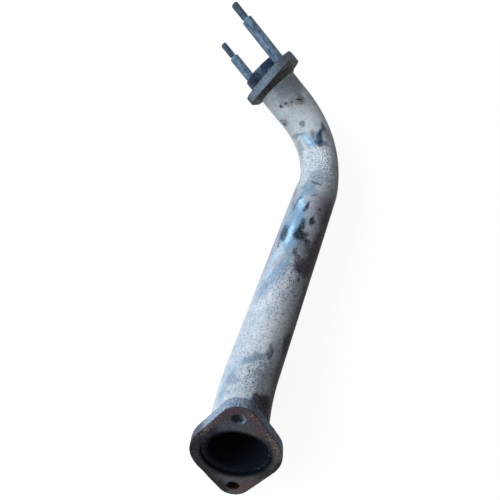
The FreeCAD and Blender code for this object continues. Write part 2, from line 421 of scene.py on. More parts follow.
# %% Dents, bend ripples and the rolled seam
RIPPLE_PITCH = 9.0
RIPPLE_DEPTH = 0.45 * MM
WOBBLE_SIZE = 14 * MM
DENT_SIZE = 22 * MM
DENT_DEPTH = 0.16 * MM
PIT_SIZE = 2.4 * MM
PIT_DEPTH = 0.05 * MM
SEAM_TURN = 21.0
SEAM_WIDTH = 1.6
SEAM_DEPTH = 0.10 * MM
RIM_FADE = 3
BORE_STATION_SKIP = 4
MM_PER_DEGREE = TUBE_RADIUS / MM * math.pi / 180

wobble = lumps(smooth_points, WOBBLE_SIZE, 3)
inner_side = np.clip(toward_centre, 0, 1) ** 2 * line["squeeze"][:, None]
ripple = 0.5 + 0.5 * np.sin(distance_mm * 2 * math.pi / RIPPLE_PITCH + 2.0 * wobble)
dents = 0.5 + 0.5 * lumps(smooth_points, DENT_SIZE, 4)
pits = 0.5 + 0.5 * lumps(smooth_points, PIT_SIZE, 5)
from_seam = (turn_degrees - SEAM_TURN) * MM_PER_DEGREE
seam = np.exp(-(from_seam / SEAM_WIDTH) ** 2)
pressed_in = RIPPLE_DEPTH * inner_side * ripple + DENT_DEPTH * dents + PIT_DEPTH * pits + SEAM_DEPTH * seam
to_lower_rim = distance_mm + LOWER_REACH / MM
to_upper_rim = tube_length / MM + UPPER_REACH / MM - distance_mm
off_rims = np.clip(np.minimum(to_lower_rim, to_upper_rim) / RIM_FADE, 0, 1)
outside = smooth_points - directions * (pressed_in * off_rims)[..., None]

# The bore is plain, so every fourth station is enough for it
inner_path = {key: value[::BORE_STATION_SKIP] for key, value in line.items()}
inner_path = {key: np.concatenate([value, line[key][-1:]]) for key, value in inner_path.items()}
inner_directions = ring_directions(inner_path, turns)
inner_radii = ring_radii(inner_path, inner_directions, TUBE_RADIUS - TUBE_WALL)[0]
inside = inner_path["place"][:, None] + inner_directions * inner_radii[..., None]
wall = np.concatenate([outside, inside[::-1]])[:, ::-1]
tube = grid_piece("front_pipe", wall, True, True)
print("deepest dent", round(pressed_in.max() / MM, 2), "mm, faces", len(tube.data.polygons))

# %% [markdown]
# ## Marks on the tube
# The marks on the real tube have places: so many millimetres along it, and so many degrees round it
# from its upper side. Each mark is an oval patch with a length and a width in millimetres, a lean, a
# softness of its edge and a strength. The patches are measured in a place that noise has pushed
# about, so no outline is a plain oval. Marks of one kind make one layer, and the material turns each
# layer into a colour and a gloss.

# %% Burns, soot and painted shade: mm along, degrees round, length, width, lean, softness, strength
SOOT_AND_SHADE = {
    "burn behind the lower flange": (28, 34, 27, 25, 0, 0.55, 1.0),
    "its lower lobe": (31, 9, 15, 9, 0, 0.9, 0.95),
    "front of the brown field": (174, 24, 19, 21, 0, 0.55, 0.95),
    "its foot": (177, 4, 18, 8, -22, 0.9, 0.75),
    "field behind it": (196, 42, 50, 17, 0, 0.8, 0.85),
    "haze between them": (192, 12, 24, 14, 0, 1.2, 0.55),
    "streak towards the blotch": (200, 13, 12, 7, -20, 1.1, 0.75),
    # These two bands along the shaded side are partly soot and partly painted shade, darkening the side
    # turned from the lamps
    "field along the shaded side": (216, 56, 84, 16, 0, 1.0, 0.90),
    "shade on the lower run": (90, 58, 150, 16, 0, 1.2, 0.65),
    "spot on the shaded side": (98, 50, 20, 13, 0, 0.9, 1.0),
    "its tail": (100, 40, 5, 9, 0, 1.2, 0.6),
    "smudge on the shaded side": (150, 54, 28, 8, 0, 1.2, 0.6),
    "field before the bend": (250, 50, 36, 20, 0, 1.1, 0.60),
    "field between them": (226, 40, 44, 12, 0, 1.2, 0.40),
}
RUST = {
    "brown field": (194, 34, 46, 20, 0, 1.1, 0.7),
    "red-brown field": (250, 32, 34, 22, 0, 1.2, 0.8),
    "its streak": (240, 46, 14, 16, 0, 1.2, 0.7),
    "foot of the brown field": (170, 8, 10, 8, 0, 1.2, 0.8),
    "stain at the shaded side": (158, 44, 14, 7, 0, 1.2, 0.6),
    "second stain at the shaded side": (136, 47, 12, 6, 0, 1.2, 0.5),
    "streaks at the inner side": (268, -74, 16, 6, -12, 1.2, 0.5),
    "second streaks at the inner side": (248, -62, 20, 5, -8, 1.2, 0.4),
}

# %% Oil and water marks
OIL = {
    "blotch at the middle": (207, -10, 15, 17, -15, 0.8, 1.0),
    "its corner": (212, -19, 7, 6, 0, 1.0, 0.9),
    "its upper smear": (203, 9, 8, 9, 20, 1.2, 0.7),
    "drop before it": (187, -9, 9, 3.8, 12, 1.1, 0.9),
    "drop after it": (218, -12, 8, 3.4, 0, 1.1, 0.8),
    "round drop": (228.5, 2, 11.5, 4.8, 0, 0.8, 1.0),
    "top of the round drop": (226.5, 8, 8, 4, 20, 1.1, 0.9),
    "bar": (243, -20, 15, 4.2, 0, 0.9, 0.95),
    "crumb": (246, 16, 3.8, 2.6, 0, 0.9, 0.9),
    "dot": (243, -8, 1.9, 1.7, 0, 0.9, 0.9),
    "comma": (262, -13, 3.4, 7, -20, 1.2, 0.7),
    "mark before the bend": (287, -28, 2.8, 2.4, 0, 1.1, 0.6),
    "speck on the first glint": (205, -39, 1.9, 1.5, 0, 1.0, 0.8),
    "speck beside it": (209, -34, 1.6, 1.7, 0, 1.0, 0.8),
    "speck past it": (212.5, -41, 1.7, 1.3, 0, 1.0, 0.7),
    "speck before it": (200.5, -36, 1.5, 1.5, 0, 1.0, 0.7),
    "speck on the second glint": (245, -37, 1.7, 1.5, 0, 1.0, 0.7),
    "speck past that": (251, -32, 1.6, 1.4, 0, 1.0, 0.7),
    "mark before the brown field": (159, 20, 7, 5, 0, 1.2, 0.7),
    "crack in the burn": (409, -8, 9, 2.4, -42, 0.9, 1.0),
    "crack across it": (408.5, -9, 6.5, 2.0, 50, 0.9, 0.95),
    "speck in the trail": (412, -30, 3.2, 2.2, 60, 1.1, 0.75),
    "second speck in the trail": (416, -43, 4.2, 2.0, 40, 1.1, 0.85),
    "core of the burn": (30, 33, 23, 21, 0, 1.0, 0.70),
    "spot on the shaded side": (98, 50, 16, 9, 0, 1.0, 0.85),
    "cross": (417, -59, 5.6, 2.1, -40, 0.9, 1.0),
    "arm of the cross": (417, -59, 5.2, 2.0, 40, 0.9, 0.95),
    "speck at the inner side": (397, -95, 4.5, 5, 0, 1.1, 0.8),
    "second speck at the inner side": (405, -93, 2.8, 4.4, 0, 1.1, 0.85),
    "faint speck": (423, -70, 3, 2.4, 0, 1.1, 0.5),
}
NAVY = {
    "mark near the lower bend": (83, 12, 12, 5.6, -15, 1.3, 0.80),
    # Painted shade: a soft darker patch on the tube's top beside the blotch
    "shade beside the blotch": (199, -9, 26, 10, 0, 1.3, 0.40),
    "foot of the field": (169, 13, 7, 6, 0, 1.1, 0.70),
    "edge strip in the bend": (342, -9, 8.5, 13, 0, 0.9, 0.8),
    "patch in the bend": (350, -10, 20, 8.5, 12, 1.0, 0.95),
    "its stroke": (360, 2, 13, 4, 36, 1.0, 0.95),
    "end of the stroke": (364, 10.5, 11.5, 5, 0, 1.0, 0.9),
    "foot of the patch": (346, -20, 8, 6, -30, 1.2, 0.8),
    "smear beside the blotch": (219, -17, 15, 5, 0, 1.2, 0.9),
    "oval beside the glint": (206, -54, 21, 10, 0, 1.1, 0.90),
    "its near end": (192, -58, 8, 3.5, 20, 1.2, 0.65),
    "thin line": (247, -48.5, 22, 3.0, 8, 1.2, 0.80),
    "its hook": (256, -41, 2.6, 5, 0, 1.2, 0.65),
    "arc before the bend": (279, -17, 3.4, 14, 14, 1.0, 0.80),
}

# %% Smooth, rubbed places, with painted sky reflections and painted highlights
# Rubbed places are smoother, and their pale blue is partly a painted reflection of the sky
RUBBED_AND_SKY_REFLECTION = {
    "smooth patch before the blotch": (194, -33, 16, 13, 0, 1.2, 0.75),
    "streak before the field": (150, -42, 42, 9, 14, 1.3, 0.30),
    "smooth field at the middle": (226, -37, 66, 18, 0, 1.2, 0.90),
    "streaks under the navy patch": (347, -30, 11, 11, -35, 1.2, 0.9),
    "smooth patch in the bend": (357, -48, 24, 13, -12, 1.2, 0.80),
}
# The glints are painted highlights: pale cyan where the smooth coat reflects the sky lamp, and a pale strip
# along the lit side
PAINTED_GLINTS = {
    "first glint": (207, -37, 25, 6.5, 0, 1.3, 0.95),
    "second glint": (248, -35, 19, 6.5, -4, 1.1, 0.9),
    "its lower edge": (255, -33, 7, 5, 0, 1.2, 0.6),
    "glint in the bend": (358, -51, 14, 8, -14, 1.3, 0.50),
    "small glint in the bend": (350, -43, 9, 5, -30, 1.3, 0.50),
    "pale patch beside the streak": (174, -60, 26, 8, 8, 1.3, 0.60),
    "pale streak before it": (156, -54, 16, 5, 20, 1.3, 0.55),
    "pale streak after it": (191, -47, 14, 4, -14, 1.3, 0.50),
    "pale streak across it": (180, -44, 12, 4, 50, 1.3, 0.45),
    "pale strip by the lower bend": (48, -73, 64, 8, 0, 1.3, 0.45),
}

# %% Grey spots, painted shade, tan burns and worn tints
GREY_AND_SHADE = {
    "drop-shaped spot": (379, -40.5, 10.5, 8.5, 0, 0.6, 1.0),
    "its tip": (376, -51, 2.8, 6, -20, 1.1, 0.7),
    "round fold": (349, -91, 24, 17, 0, 0.5, 0.58),
    "edge of the round fold": (359.5, -93, 2.6, 15, -12, 0.9, 0.8),
    "fold beside it": (371, -88, 10, 16, 0, 0.7, 0.65),
    "crease of the fold": (369.5, -66, 20, 3.0, -72, 1.1, 0.90),
    "smear near the lower bend": (73, -14, 22, 6, 57, 1.2, 0.85),
    "patch above it": (62, -1, 12, 8, 30, 1.2, 0.55),
    "patch beside it": (55, -9, 10, 6, 60, 1.2, 0.45),
    "blotch near the lower bend": (46, -47, 12, 12, 20, 1.2, 0.65),
    "spot at the inner side": (32, -69, 7, 4, 0, 1.2, 0.55),
    # Painted shade: a darker band near the tube's top behind the burn
    "shade behind the burn": (54, 13, 32, 9, 0, 1.2, 0.55),
    "faint mark past the spot": (388, -50, 7, 3, 30, 1.2, 0.4),
    "mark under the trail": (407, -42, 4, 4, 0, 1.2, 0.5),
    # Painted shade: the patches named shade darken the tube's top and its end by the upper flange
    "shade round the middle": (214, -6, 60, 22, 0, 1.2, 0.45),
    "shade in the bend": (352, 6, 34, 26, 0, 1.2, 0.5),
    "shade before the upper flange": (429, -6, 24, 46, 0, 1.2, 0.9),
    "shade above the burn": (419, 4, 15, 12, 20, 1.2, 0.8),
}
BLUE = {
    "cloud beside the specks": (174, -24, 56, 11, 4, 1.3, 0.72),
    "cloud before the rubbed band": (152, -38, 42, 15, 16, 1.3, 0.60),
    "thin streak in it": (146, -50, 30, 6, 12, 1.2, 0.55),
    "cloud round the blotch": (204, -28, 34, 14, 0, 1.2, 0.80),
    "cloud under the oval": (208, -60, 34, 9, 0, 1.2, 0.65),
    "cloud after the blotch": (228, -36, 40, 24, 0, 1.2, 0.80),
    "field inside the arc": (270, -31, 22, 18, 0, 1.2, 0.90),
    "haze in the bend": (351, -26, 22, 22, 0, 1.2, 0.90),
    "haze by the lower flange": (22, 2, 16, 22, 0, 1.2, 0.75),
    "haze near the lower bend": (46, -46, 30, 14, 20, 1.2, 0.45),
    "haze along the smear": (72, -20, 22, 8, 50, 1.2, 0.55),
    "haze on the lit side": (32, -64, 20, 9, 0, 1.2, 0.55),
    "haze over the upper bend": (292, -22, 34, 26, 0, 1.2, 0.50),
    "haze along the lit side": (104, -56, 120, 16, 0, 1.2, 0.40),
}
TAN = {
    "burn near the upper flange": (408, -8, 14, 12, 0, 1.1, 0.95),
    "its trail": (413, -30, 8, 14, -14, 1.2, 0.75),
    "end of the trail": (417, -52, 9, 9, 0, 1.2, 0.6),
    "haze above the trail": (423, -34, 13, 20, 0, 1.2, 0.40),
    "smear at the inner side": (398, -90, 12, 12, 0, 1.2, 0.65),
    "smudge under the stroke": (359, -25, 14, 5, 0, 1.2, 0.95),
    "smudge over the navy patch": (353, 11, 15, 8, 0, 1.2, 0.7),
}
LILAC = {
    "rose field": (250, 3, 36, 16, 0, 1.2, 0.9),
    "rose field beside it": (252, 18, 34, 16, 0, 1.2, 0.9),
    "field before the bend": (291, -24, 26, 20, 0, 1.2, 0.7),
    "field at the inner side": (256, -64, 44, 10, -4, 1.2, 0.55),
    "field at the lower bend": (190, -74, 60, 12, 0, 1.2, 0.4),
}

# %% Layers from the patches
PUSH_COARSE, COARSE_SIZE = 1.1, 7 * MM
PUSH_FINE, FINE_SIZE = 0.7, 2.6 * MM
FRAY_SIZE = 5 * MM

push = [
    PUSH_COARSE * lumps(smooth_points, COARSE_SIZE, seed)
    + PUSH_FINE * lumps(smooth_points, FINE_SIZE, seed + 50)
    for seed in (6, 8)
]
pushed_along = distance_mm + push[0]
pushed_turn = turn_degrees * MM_PER_DEGREE + push[1]
coarse_fray = lumps(smooth_points, FRAY_SIZE, 7)


def by_width(patches):
    """The same patches with their turns as millimetres round the tube."""
    return {name: (along, turn * MM_PER_DEGREE, *rest) for name, (along, turn, *rest) in patches.items()}


def on_wall(values, inside_value=0.0):
    """A layer of the outside, followed by one value for the bore, in the order of the wall's points."""
    bore = np.full(inside.shape[:2], inside_value)
    return np.concatenate([values, bore])[:, ::-1]


kinds = {"soot": SOOT_AND_SHADE, "rust": RUST, "oil": OIL, "navy": NAVY, "rubbed": RUBBED_AND_SKY_REFLECTION, "glint": PAINTED_GLINTS, "grey": GREY_AND_SHADE,
         "blue": BLUE, "tan": TAN, "lilac": LILAC}
layers = {}
for name, patches in kinds.items():
    layers[name] = ovals(pushed_along, pushed_turn, by_width(patches), coarse_fray)
print("layers", {name: round(float(values.mean()), 3) for name, values in layers.items()})

# %% Grime and painted shade, heat and specks
# Road grime and painted shade lie on the shaded side, thinner underneath: this layer darkens the side
# turned from the lamps. Heat has darkened both ends. The numbers in these formulas are places in mm
# along the tube and in degrees round it.
LIT_SIDE = -60
SHADED_SIDE = 50

upper_end = tube_length / MM
past_side = np.abs((turn_degrees - LIT_SIDE + 180) % 360 - 180)
past_shade = np.abs((turn_degrees - SHADED_SIDE + 180) % 360 - 180)
lighter_on = 0.25 * ramp(distance_mm, 262, 290) + 0.40 * ramp(distance_mm, 335, 365)
thinner = 1 - 0.5 * ramp(past_shade + 8 * coarse_fray, 28, 75)
# Painted shade over real grime: darker the farther a point is turned from the lit side, weaker towards the
# upper bend, thinner underneath
layers["grime_and_painted_shade"] = ramp(past_side + 5 * coarse_fray, 38, 118) * (1 - lighter_on) * thinner
to_upper_flange = upper_end - distance_mm + 3.0 * coarse_fray - 5 * ramp(turn_degrees, 0, 70)
layers["heat"] = np.maximum(ramp(to_upper_flange, 42, 5), ramp(distance_mm + 1.5 * coarse_fray, 12, 2))
layers["cream"] = 0.22 * ramp(distance_mm, 262, 282) + 0.40 * ramp(distance_mm + 2 * coarse_fray, 336, 352)
SPECKLED = {
    "before the brown field": (158, 2, 74, 28, 0, 1.2, 1.0),
    "along the middle": (112, -8, 60, 18, 0, 1.2, 0.60),
    "near the lower bend": (58, -2, 48, 30, 0, 1.2, 1.0),
}
speckled = 0.10 * ramp(distance_mm, 214, 176) * ramp(turn_degrees, -50, -15) + ramp(distance_mm, 262, 282)
speckled = np.maximum(speckled, ovals(pushed_along, pushed_turn, by_width(SPECKLED), coarse_fray))
speckled = speckled * (1 - 0.78 * ramp(distance_mm + 1.5 * coarse_fray, 335, 340))
layers["speckle"] = speckled * (0.72 + 0.28 * ramp(turn_degrees, -60, -10))
worn_run = ramp(distance_mm, 290, 262) * (0.08 + 0.50 * ramp(distance_mm, 120, 190))
layers["worn"] = worn_run + 0.04 * ramp(distance_mm, 336, 346)
for name, values in layers.items():
    mark(tube, name, on_wall(values))
mark(tube, "bore", on_wall(ramp(distance_mm, -2.5, -4.5), 1.0))

# Where each point would be if the tube were straight, so that streaks can follow the bends
round_tube = np.radians(turn_degrees)
unbent_round = TUBE_RADIUS * np.cos(round_tube), TUBE_RADIUS * np.sin(round_tube)
unbent = np.stack([distance_mm * MM, *unbent_round], axis=-1)
unbent_wall = np.concatenate([unbent, np.zeros_like(inside)])[:, ::-1]
unbent_layer = tube.data.attributes.new("unbent", "FLOAT_VECTOR", "POINT")
unbent_layer.data.foreach_set("vector", unbent_wall.astype(np.float32).ravel())
print("speckled share", round(float(layers["speckle"].mean()), 3))

# %% [markdown]
# ## Aluminised steel, weathered
# The tube is mild steel dipped in aluminium. New, it is bright and smooth. In use the coating turns
# to a pale, chalky grey with fine dark specks where it has gone, and heat, oil and road dirt stain
# it. The eye sees a dull, uneven grey with hardly any sheen, and a metal's reflection only where the
# coating has been rubbed smooth. So the chalk is nearly no metal and rough, and the layers of rubbed
# places raise the metallic share and lower the roughness. Some layers also paint light and shade: the
# glints are painted highlights, the rubbed places' pale blue is partly a painted sky reflection, the
# grime layer is partly painted shade, and the grey patches named shade are painted shade.

# %% Finish of the tube
# Each layer's colour, its strongest share, and how much its edge frays
STAINS = {
    # This layer is partly road grime and partly painted shade on the side turned from the lamps
    "grime_and_painted_shade": ("4d4946", 0.88, 0.20),
    # grey colours grey spots and also the painted shade patches
    "grey": ("76828a", 0.85, 0.30),
    "lilac": ("a39aa8", 0.80, 0.40),
    "blue": ("7d9ab1", 0.85, 0.80),
    "tan": ("77736a", 0.90, 0.35),
    # rubbed: a smoother coat whose pale blue is partly a painted reflection of the sky
    "rubbed": ("85adc8", 0.85, 0.80),
    # glint: a painted highlight, pale cyan, where the glints also get a real metal share
    "glint": ("a8cde2", 0.95, 1.00),
    "rust": ("5a4346", 0.75, 0.60),
    # soot also colours the painted shade bands along the shaded side
    "soot": ("41363d", 0.95, 0.40),
    "navy": ("22344c", 0.97, 0.70),
    "oil": ("10151d", 0.97, 0.60),
    "heat": ("3b3837", 0.92, 0.80),
}
STREAKED = ("blue", "rubbed", "navy")
STREAK_STRETCH = 0.22


def tube_finish():
    """Chalky coating, then specks, then each layer of marks, each with its colour and gloss."""
    material, add = new_material("weathered_aluminised_steel")
    at = add("TexCoord").outputs["Object"]
    read = {name: add("Attribute", attribute_name=name).outputs["Fac"] for name in [*layers, "bore"]}
    unbent_at = add("Attribute", attribute_name="unbent").outputs["Vector"]
    drawn_out = add("Mapping", {"Vector": unbent_at, "Scale": (STREAK_STRETCH, 1.0, 1.0)})

    # Streaks along the tube, broad clouds, mottling, and grain made as coarse as the camera can show
    streak, cloud, mottle, grain = (
        add("TexNoise", {"Vector": where, "Scale": per_mm(size), "Detail": detail, "Roughness": roughness})
        for where, size, detail, roughness in (
            (drawn_out, 2.0, 5.0, 0.65), (at, 18, 5.0, 0.65), (at, 3.0, 6.0, 0.7), (at, 1.2, 4.0, 0.6)))
    cloudy = add("MapRange", {0: cloud, 1: 0.40, 2: 0.60})
    mottled = add("MapRange", {0: mottle, 1: 0.34, 2: 0.66})
    partly_mottled = add("Math", {0: mottled, 1: 0.32}, operation="MULTIPLY")
    grainy = add("MapRange", {0: grain, 1: 0.34, 2: 0.66, 4: 0.35})
    cream = add("Math", {0: read["cream"], 1: 0.8}, operation="MULTIPLY")
    coat = add("Mix", {FACTOR: cloudy, FIRST: "d0d8de", SECOND: "f5f6f5"}, data_type="RGBA")
    for share, colour in ((read["worn"], "868f96"), (partly_mottled, "98a0a8"),
                          (grainy, "eef1f1"), (cream, "d5dfd8")):
        coat = add("Mix", {FACTOR: share, FIRST: coat, SECOND: colour}, data_type="RGBA")

    # Specks are the middles of random cells: close ones 1.5 mm apart and sparse ones 3.1 mm apart
    specks = []
    for cell, dropped, size, power in ((1.5, 0.06, 0.56, 2.0), (3.1, 0.40, 0.42, 0.7)):
        cells = add("TexVoronoi", {"Vector": at, "Scale": per_mm(cell), "Randomness": 1.0})
        dot = add("MapRange", {0: cells, 1: size, 2: size * 0.4})
        chosen = add("SeparateColor", {0: cells.outputs["Color"]})
        some = add("MapRange", {0: chosen, 1: dropped, 2: dropped + 0.35})
        dots = add("Math", {0: dot, 1: some}, operation="MULTIPLY")
        strength = add("Math", {0: read["speckle"], 1: power}, operation="POWER")
        specks.append(add("Math", {0: dots, 1: strength}, operation="MULTIPLY"))
    speckled = add("Math", dict(enumerate(specks)), operation="MAXIMUM")
    speck_share = add("Math", {0: speckled, 1: 0.95}, operation="MULTIPLY")
    coat = add("Mix", {FACTOR: speck_share, FIRST: coat, SECOND: "414c68"}, data_type="RGBA")

    # Each layer of marks is thin in places: some by the streaks, the others by the mottling
    mottled_fray, streaked_fray = (
        add("Math", {0: noise, 1: 0.5}, operation="SUBTRACT") for noise in (mottle, streak))
    cover = {}
    for name, (colour, strength, frayed) in STAINS.items():
        fray = streaked_fray if name in STREAKED else mottled_fray
        moved = add("Math", {0: fray, 1: frayed * 2, 2: read[name]}, operation="MULTIPLY_ADD")
        cover[name] = add("MapRange", {0: moved, 1: 0.10, 2: 1.05, 4: strength})
        coat = add("Mix", {FACTOR: cover[name], FIRST: coat, SECOND: colour}, data_type="RGBA")

    # Grit is dark in the hollows of the grain and pale on its tops, and weaker where the coat is cream
    gritty = add("MapRange", {0: read["cream"], 1: 0.3, 2: 0.6, 3: 1.0, 4: 0.45})
    for start, end, share, colour in ((0.44, 0.32, 0.55, "262b33"), (0.57, 0.70, 0.30, "e6edf2")):
        grit = add("MapRange", {0: grain, 1: start, 2: end, 4: share})
        kept_grit = add("Math", {0: grit, 1: gritty}, operation="MULTIPLY")
        coat = add("Mix", {FACTOR: kept_grit, FIRST: coat, SECOND: colour}, data_type="RGBA")
    sooty = add("Mix", {FACTOR: read["bore"], FIRST: coat, SECOND: "151a21"}, data_type="RGBA")

    # Rubbed places and oil are smooth, everything else is chalky, and the glints show bare metal
    smooth = add("Math", {0: cover["rubbed"], 1: cover["glint"]}, operation="MAXIMUM")
    roughness = add("MapRange", {0: mottle, 1: 0.3, 2: 0.7, 3: 0.50, 4: 0.64})
    for share, value in ((smooth, 0.36), (cover["oil"], 0.42), (read["bore"], 0.9)):
        roughness = add("Mix", {0: share, 2: roughness, 3: value})
    metal = add("MapRange", {0: cover["glint"], 3: 0.04, 4: 0.55})
    height = add("Math", {0: grain, 1: 0.5, 2: mottle}, operation="MULTIPLY_ADD")
    sunk = add("Math", {0: speckled, 1: -0.5, 2: height}, operation="MULTIPLY_ADD")
    bump = add("Bump", {"Strength": 0.45, "Distance": 0.25 * MM, "Height": sunk})
    shader = add("BsdfPrincipled", {"Base Color": sooty, "Metallic": metal, "Roughness": roughness,
                                    "Specular IOR Level": 0.03, "Normal": bump})
    add("OutputMaterial", {"Surface": shader})
    return material


tube.data.materials.append(tube_finish())
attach(tube, "root")
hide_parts("pipe")
print("tube finish has", len(tube.data.materials[0].node_tree.nodes), "nodes")

# %% [markdown]
# ## Studs with a real thread
# Each stud is turned from bar: a long smooth shoulder, a narrow relief groove, and a rolled M8
# thread with a pitch of 1.25 mm. A thread is a surface whose radius depends on the height and on
# the angle: a V profile of the fraction of a turn reached at that height. Rows are close together
# only on the thread, and the cone of the tip cuts the last turns off.

# %% Stud surface
SHOULDER_RADIUS = 6.0
SHOULDER_LENGTH = 56.0
THREAD_RADIUS = 4.0
THREAD_LENGTH = 21.0
THREAD_PITCH = 1.25
THREAD_DEPTH = 0.72
RELIEF_RADIUS = 3.3
RELIEF_LENGTH = 1.8
ROOT_RADIUS = 5.0
ROOT_LENGTH = 9.5
TIP_CHAMFER = 1.1
SHOULDER_CHAMFER = 0.6
STUD_COLUMNS = 64


def stud_profile():
    """Heights and radii in mm from the root's end to the tip, as two arrays."""
    thread_start = SHOULDER_LENGTH + RELIEF_LENGTH
    tip = SHOULDER_LENGTH + THREAD_LENGTH
    shoulder = np.linspace(0.6, SHOULDER_LENGTH - SHOULDER_CHAMFER, 46)
    thread = np.arange(thread_start, tip - 0.01, 0.1)
    heights = np.concatenate([
        [-ROOT_LENGTH, -ROOT_LENGTH, -0.5, 0, 0, 0.15], shoulder,
        [SHOULDER_LENGTH - 0.3, SHOULDER_LENGTH, SHOULDER_LENGTH, SHOULDER_LENGTH + 0.15],
        [thread_start - 0.3], thread, [tip, tip],
    ])
    plain = np.interp(
        heights,
        [-ROOT_LENGTH, 0, 0.0001, 0.3, SHOULDER_LENGTH - SHOULDER_CHAMFER,
         SHOULDER_LENGTH - 0.0001, SHOULDER_LENGTH, thread_start, thread_start + 0.7,
         tip - TIP_CHAMFER, tip],
        [ROOT_RADIUS, ROOT_RADIUS, SHOULDER_RADIUS - 0.2, SHOULDER_RADIUS, SHOULDER_RADIUS,
         SHOULDER_RADIUS - SHOULDER_CHAMFER, RELIEF_RADIUS, RELIEF_RADIUS, THREAD_RADIUS, THREAD_RADIUS,
         THREAD_RADIUS - TIP_CHAMFER],
    )

    # Two rows at one height make a flat ring, so one of each such pair gets its radius by itself
    shoulder_end = 6 + len(shoulder) + 1
    plain[0] = ROOT_RADIUS - 0.5
    plain[3] = ROOT_RADIUS
    plain[4] = SHOULDER_RADIUS - 0.2
    plain[shoulder_end] = SHOULDER_RADIUS - SHOULDER_CHAMFER
    plain[-1] = THREAD_RADIUS - TIP_CHAMFER - 0.4
    return heights, plain


def stud_piece(name, side, nick_height):
    """The stud as a grid of height by angle, with a V thread, placed on the upper flange."""
    heights, plain = stud_profile()
    angles = np.linspace(0, 2 * math.pi, STUD_COLUMNS, endpoint=False)
    height, angle = np.meshgrid(heights, angles, indexing="ij")
    radius = np.repeat(plain[:, None], STUD_COLUMNS, axis=1)
    turn = (height / THREAD_PITCH - angle / (2 * math.pi)) % 1.0
    groove = np.clip(1 - np.abs(turn - 0.5) * 2.6, 0, 1)
    on_thread = height > SHOULDER_LENGTH + RELIEF_LENGTH
    radius = np.where(on_thread, np.minimum(radius, THREAD_RADIUS - THREAD_DEPTH * groove), radius)
    nick = np.exp(-((height - nick_height) / 1.4) ** 2 - ((np.cos(angle) * 6 - 5.2) / 1.6) ** 2)
    radius = radius - 0.35 * nick * (np.cos(angle) > 0)
    across = np.cross(upper_out, upper_line)
    centre = upper_face + upper_line * side * BOLT_SPACING / 2
    spokes = upper_line * np.cos(angle)[..., None] + across * np.sin(angle)[..., None]
    points = centre + upper_out * (height * MM)[..., None] + spokes * (radius * MM)[..., None]
    piece = grid_piece(name, points, False, True, caps=(0, len(heights) - 1))
    ring = np.append(np.repeat(heights, STUD_COLUMNS), [heights[0], heights[-1]])
    dirt = np.where(on_thread, 0.1 + 0.9 * groove, 0.4 * (height > SHOULDER_LENGTH + 0.2))
    mark(piece, "thread", np.append(dirt.ravel(), [0, 0.4]))
    mark(piece, "foot", np.clip(1 - ring / 5, 0, 1))
    print(name, "faces", len(piece.data.polygons))
    return piece


stud_near = stud_piece("near_shoulder_stud", 1, 30.0)
stud_far = stud_piece("far_shoulder_stud", -1, 90.0)

# %% [markdown]
# ## Plain turned steel
# The studs are medium carbon steel with no plating left. The shoulder keeps a satin turned surface
# with streaks along it, blue-grey under the open sky, and the thread holds dark dirt in its grooves.
# Streaks come from noise stretched along the stud by a Mapping node.

# %% Finish of the studs
def along_axis(add, at, axis, stretch):
    """Object coordinates in a frame whose Z runs along the axis, with Z divided by the stretch."""
    turn = Vector((0, 0, 1)).rotation_difference(Vector(axis)).to_euler()
    scale = (1.0, 1.0, stretch)
    return add("Mapping", {"Vector": at, "Rotation": turn, "Scale": scale}, vector_type="TEXTURE")


def stud_finish():
    """Blue-grey steel with long streaks, darker thread grooves, and a rusty foot."""
    material, add = new_material("satin_turned_steel")
    at = add("TexCoord").outputs["Object"]
    lengthwise = along_axis(add, at, upper_out, 3.0)
    streak = add("TexNoise", {"Vector": lengthwise, "Scale": per_mm(2.4), "Detail": 5.0, "Roughness": 0.65})
    spots = add("TexNoise", {"Vector": at, "Scale": per_mm(3.6), "Detail": 6.0, "Roughness": 0.72})
    thread, foot = (add("Attribute", attribute_name=name).outputs["Fac"] for name in ("thread", "foot"))
    light = add("MapRange", {0: streak, 1: 0.40, 2: 0.60})
    dark = add("MapRange", {0: spots, 1: 0.53, 2: 0.68, 4: 0.70})
    rubbed = add("MapRange", {0: spots, 1: 0.40, 2: 0.30, 4: 0.6})
    dirt = add("Math", {0: thread, 1: 0.42}, operation="MULTIPLY")
    rust = add("Math", {0: foot, 1: 0.30}, operation="MULTIPLY")
    coat = add("Mix", {FACTOR: light, FIRST: "4b6174", SECOND: "7d95a9"}, data_type="RGBA")
    for share, colour in ((dark, "2b3a4a"), (rubbed, "bdd0dd"), (dirt, "2f3d4c"), (rust, "4c4440")):
        coat = add("Mix", {FACTOR: share, FIRST: coat, SECOND: colour}, data_type="RGBA")
    gloss = add("MapRange", {0: spots, 1: 0.3, 2: 0.7, 3: 0.38, 4: 0.56})
    bump = add("Bump", {"Strength": 0.3, "Distance": 0.15 * MM, "Height": spots})
    shader = add("BsdfPrincipled", {"Base Color": coat, "Metallic": 0.18, "Roughness": gloss,
                                    "Specular IOR Level": 0.15, "Normal": bump})
    add("OutputMaterial", {"Surface": shader})
    return material


stud_material = stud_finish()
for piece, node in ((stud_near, "stud_near"), (stud_far, "stud_far")):
    piece.data.materials.append(stud_material)
    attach(piece, "root")
    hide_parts(node)
print("stud finish has", len(stud_material.node_tree.nodes), "nodes")

# %% [markdown]
# ## Flanges, pitted
# The two flanges are cut from plate, and years of heat have left them pitted, with soft, uneven
# rims. The plate with its holes is easiest to take from the CAD shape: a copy is merged, rebuilt as
# small even faces by a voxel remesh, and its points are then pushed inwards by noise. The distance
# of each point from the outline is stored too, because rust and bare flecks follow the rim. Stains
# have places, in millimetres along the bolt line and across it from the plate's centre.

